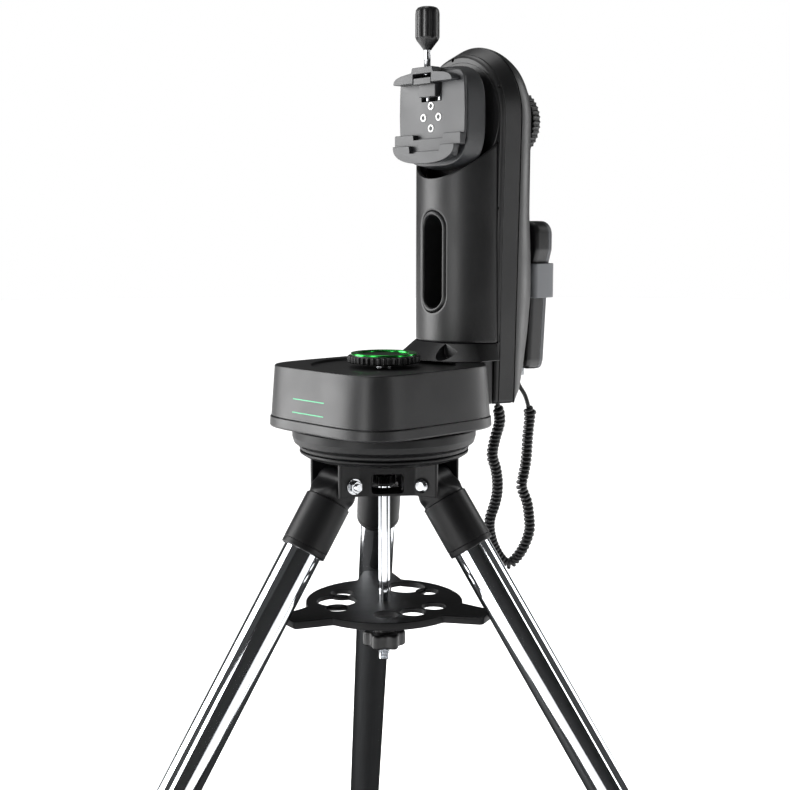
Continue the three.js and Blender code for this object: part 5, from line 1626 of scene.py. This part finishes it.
@dataclass
class Studio:
    """Floor, light and camera."""

    lens: float = 59.0
    sensor: float = 36.0
    position: tuple[float, float, float] = (-0.074, -1.1699, 0.814)
    heading: float = math.radians(4.49)
    pitch: float = math.radians(7.36)
    target: tuple[float, float, float] = (0.03, -0.09, 0.62)
    room: float = 0.075
    paper: float = 1.0
    floor_radius: float = 14.0

    def camera(self) -> None:
        """The camera, level from side to side, turned a little right of the second axis and down."""
        data = bpy.data.cameras.new("camera")
        data.lens = self.lens
        data.sensor_width = self.sensor
        data.clip_start, data.clip_end = 0.01, 50
        camera = bpy.data.objects.new("camera", data)
        bpy.context.scene.collection.objects.link(camera)
        camera.rotation_euler = (math.pi / 2 - self.pitch, 0.0, -self.heading)
        camera.location = self.position
        bpy.context.scene.camera = camera

    def floor(self) -> None:
        """A wide round sheet of pale paper."""
        rings = np.array([0.0, 0.5, 1.5, 4.0, self.floor_radius])
        skin = Skin().grid(turned([[r, 0.0] for r in rings], 96), capped=False)
        points = np.concatenate(skin.points)
        mesh = bpy.data.meshes.new("floor")
        mesh.from_pydata(points.tolist(), [], skin.faces)
        floor = bpy.data.objects.new("floor", mesh)
        bpy.context.scene.collection.objects.link(floor)
        finish = Finish("studio_paper_white", "#f6f6f6", "#f3f3f3", 0.8, Texture.PLAIN, grain_mm=30, relief_mm=0.01,
                        patch_mm=900)
        mesh.materials.append(finish.material())

    def light(self, name: str, place: Sequence[float], size: Sequence[float], power: float) -> None:
        """A soft rectangular light aimed at the mount."""
        data = bpy.data.lights.new(name, "AREA")
        data.shape = "RECTANGLE"
        data.size, data.size_y = size
        data.energy = power
        lamp = bpy.data.objects.new(name, data)
        bpy.context.scene.collection.objects.link(lamp)
        aim = Vector(self.target) - Vector(place)
        lamp.rotation_euler = aim.to_track_quat("-Z", "Y").to_euler()
        lamp.location = place

    def sun(self) -> None:
        """A wide light from above that falls on the paper alone and keeps it evenly white."""
        data = bpy.data.lights.new("paper_light", "SUN")
        data.energy = 4.2
        data.angle = math.radians(70)
        lamp = bpy.data.objects.new("paper_light", data)
        bpy.context.scene.collection.objects.link(lamp)
        lamp.location = (0.0, 0.0, 4.0)
        paper = bpy.data.collections.new("paper")
        paper.objects.link(bpy.data.objects["floor"])
        lamp.light_linking.receiver_collection = paper

    def world(self) -> None:
        """White where it is seen directly, and a dim grey room for light and reflections."""
        world = bpy.data.worlds.new("studio")
        world.use_nodes = True
        tree = world.node_tree
        tree.nodes.clear()
        room = add_node(tree, "ShaderNodeBackground", {"Color": (1, 1, 1, 1), "Strength": self.room})
        paper = add_node(tree, "ShaderNodeBackground", {"Color": (1, 1, 1, 1), "Strength": self.paper})
        seen = add_node(tree, "ShaderNodeLightPath").outputs["Is Camera Ray"]
        both = add_node(tree, "ShaderNodeMixShader", None,
                        {0: seen, 1: room.outputs["Background"], 2: paper.outputs["Background"]})
        add_node(tree, "ShaderNodeOutputWorld", None, {"Surface": both.outputs["Shader"]})
        bpy.context.scene.world = world

    def flag(self, name: str, corners: Sequence[Sequence[float]]) -> None:
        """A black board that only polished surfaces see: it gives plated tubes their dark stripe."""
        mesh = bpy.data.meshes.new(name)
        mesh.from_pydata([list(corner) for corner in corners], [], [[0, 1, 2, 3]])
        mesh.materials.append(SHADOW.material())
        board = bpy.data.objects.new(name, mesh)
        bpy.context.scene.collection.objects.link(board)
        board.visible_camera = board.visible_diffuse = board.visible_shadow = board.visible_transmission = False

    def lights(self) -> None:
        """A large box at the left, a narrow one behind at the right, one above, and a wash for the floor."""
        bpy.context.scene.view_settings.view_transform = "Standard"
        self.world()
        self.flag("front_flag", [(-2.6, -2.4, 0.2), (2.6, -2.4, 0.2), (2.6, -2.4, 2.3), (-2.6, -2.4, 2.3)])
        self.flag("floor_flag", [(-0.5, -0.6, 0.003), (0.5, -0.6, 0.003), (0.9, 1.6, 0.003), (-0.9, 1.6, 0.003)])
        self.light("left_box", (-1.9, 0.25, 1.1), (1.2, 1.7), 62)
        self.light("left_front_box", (-1.24, -1.5, 0.75), (0.55, 1.3), 13)
        self.light("right_box", (1.8, 0.6, 1.1), (0.6, 1.7), 16)
        self.light("right_strip", (1.8, -1.4, 1.0), (0.22, 1.6), 7)
        self.light("top_box", (-0.3, 0.2, 2.5), (1.4, 0.9), 16)
        self.sun()


INNER_FINISHES = {
    "azimuth_shaft": ZINC_STEEL,
    "azimuth_gear": BRASS,
    "azimuth_drive": ZINC_STEEL,
    "altitude_shaft": ZINC_STEEL,
    "altitude_gear": BRASS,
    "altitude_drive": ZINC_STEEL,
    "control_board": BOARD,
}


def dress_inner_nodes(nodes: dict[str, bpy.types.Object]) -> None:
    """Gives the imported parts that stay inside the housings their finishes."""
    for name, finish in INNER_FINISHES.items():
        node = nodes[name]
        node.data.materials.clear()
        node.data.materials.append(finish.material())
        LOG.info("%s: %s", name, finish.name)


def main() -> None:
    """Builds the mount in order, then its studio, and notes how many pieces it made."""
    logging.basicConfig(level=logging.INFO, format="%(name)s: %(message)s")
    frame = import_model()
    shop = Workshop()
    places = Places({joint["name"]: joint for joint in frame["joints"]})
    studio = Studio()
    studio.camera()
    HandController(shop, places).build()
    Cord(shop, places).build()
    Tripod(shop, places).build()
    for number in (1, 2, 3):
        Leg(shop, places, number).build()
    Base(shop, places).build()
    Arm(shop, places).build()
    Saddle(shop, places).build()
    dress_inner_nodes(frame["nodes"])
    studio.floor()
    studio.lights()
    LOG.info("%d pieces made", len(shop.made))


if __name__ == "__main__":
    main()
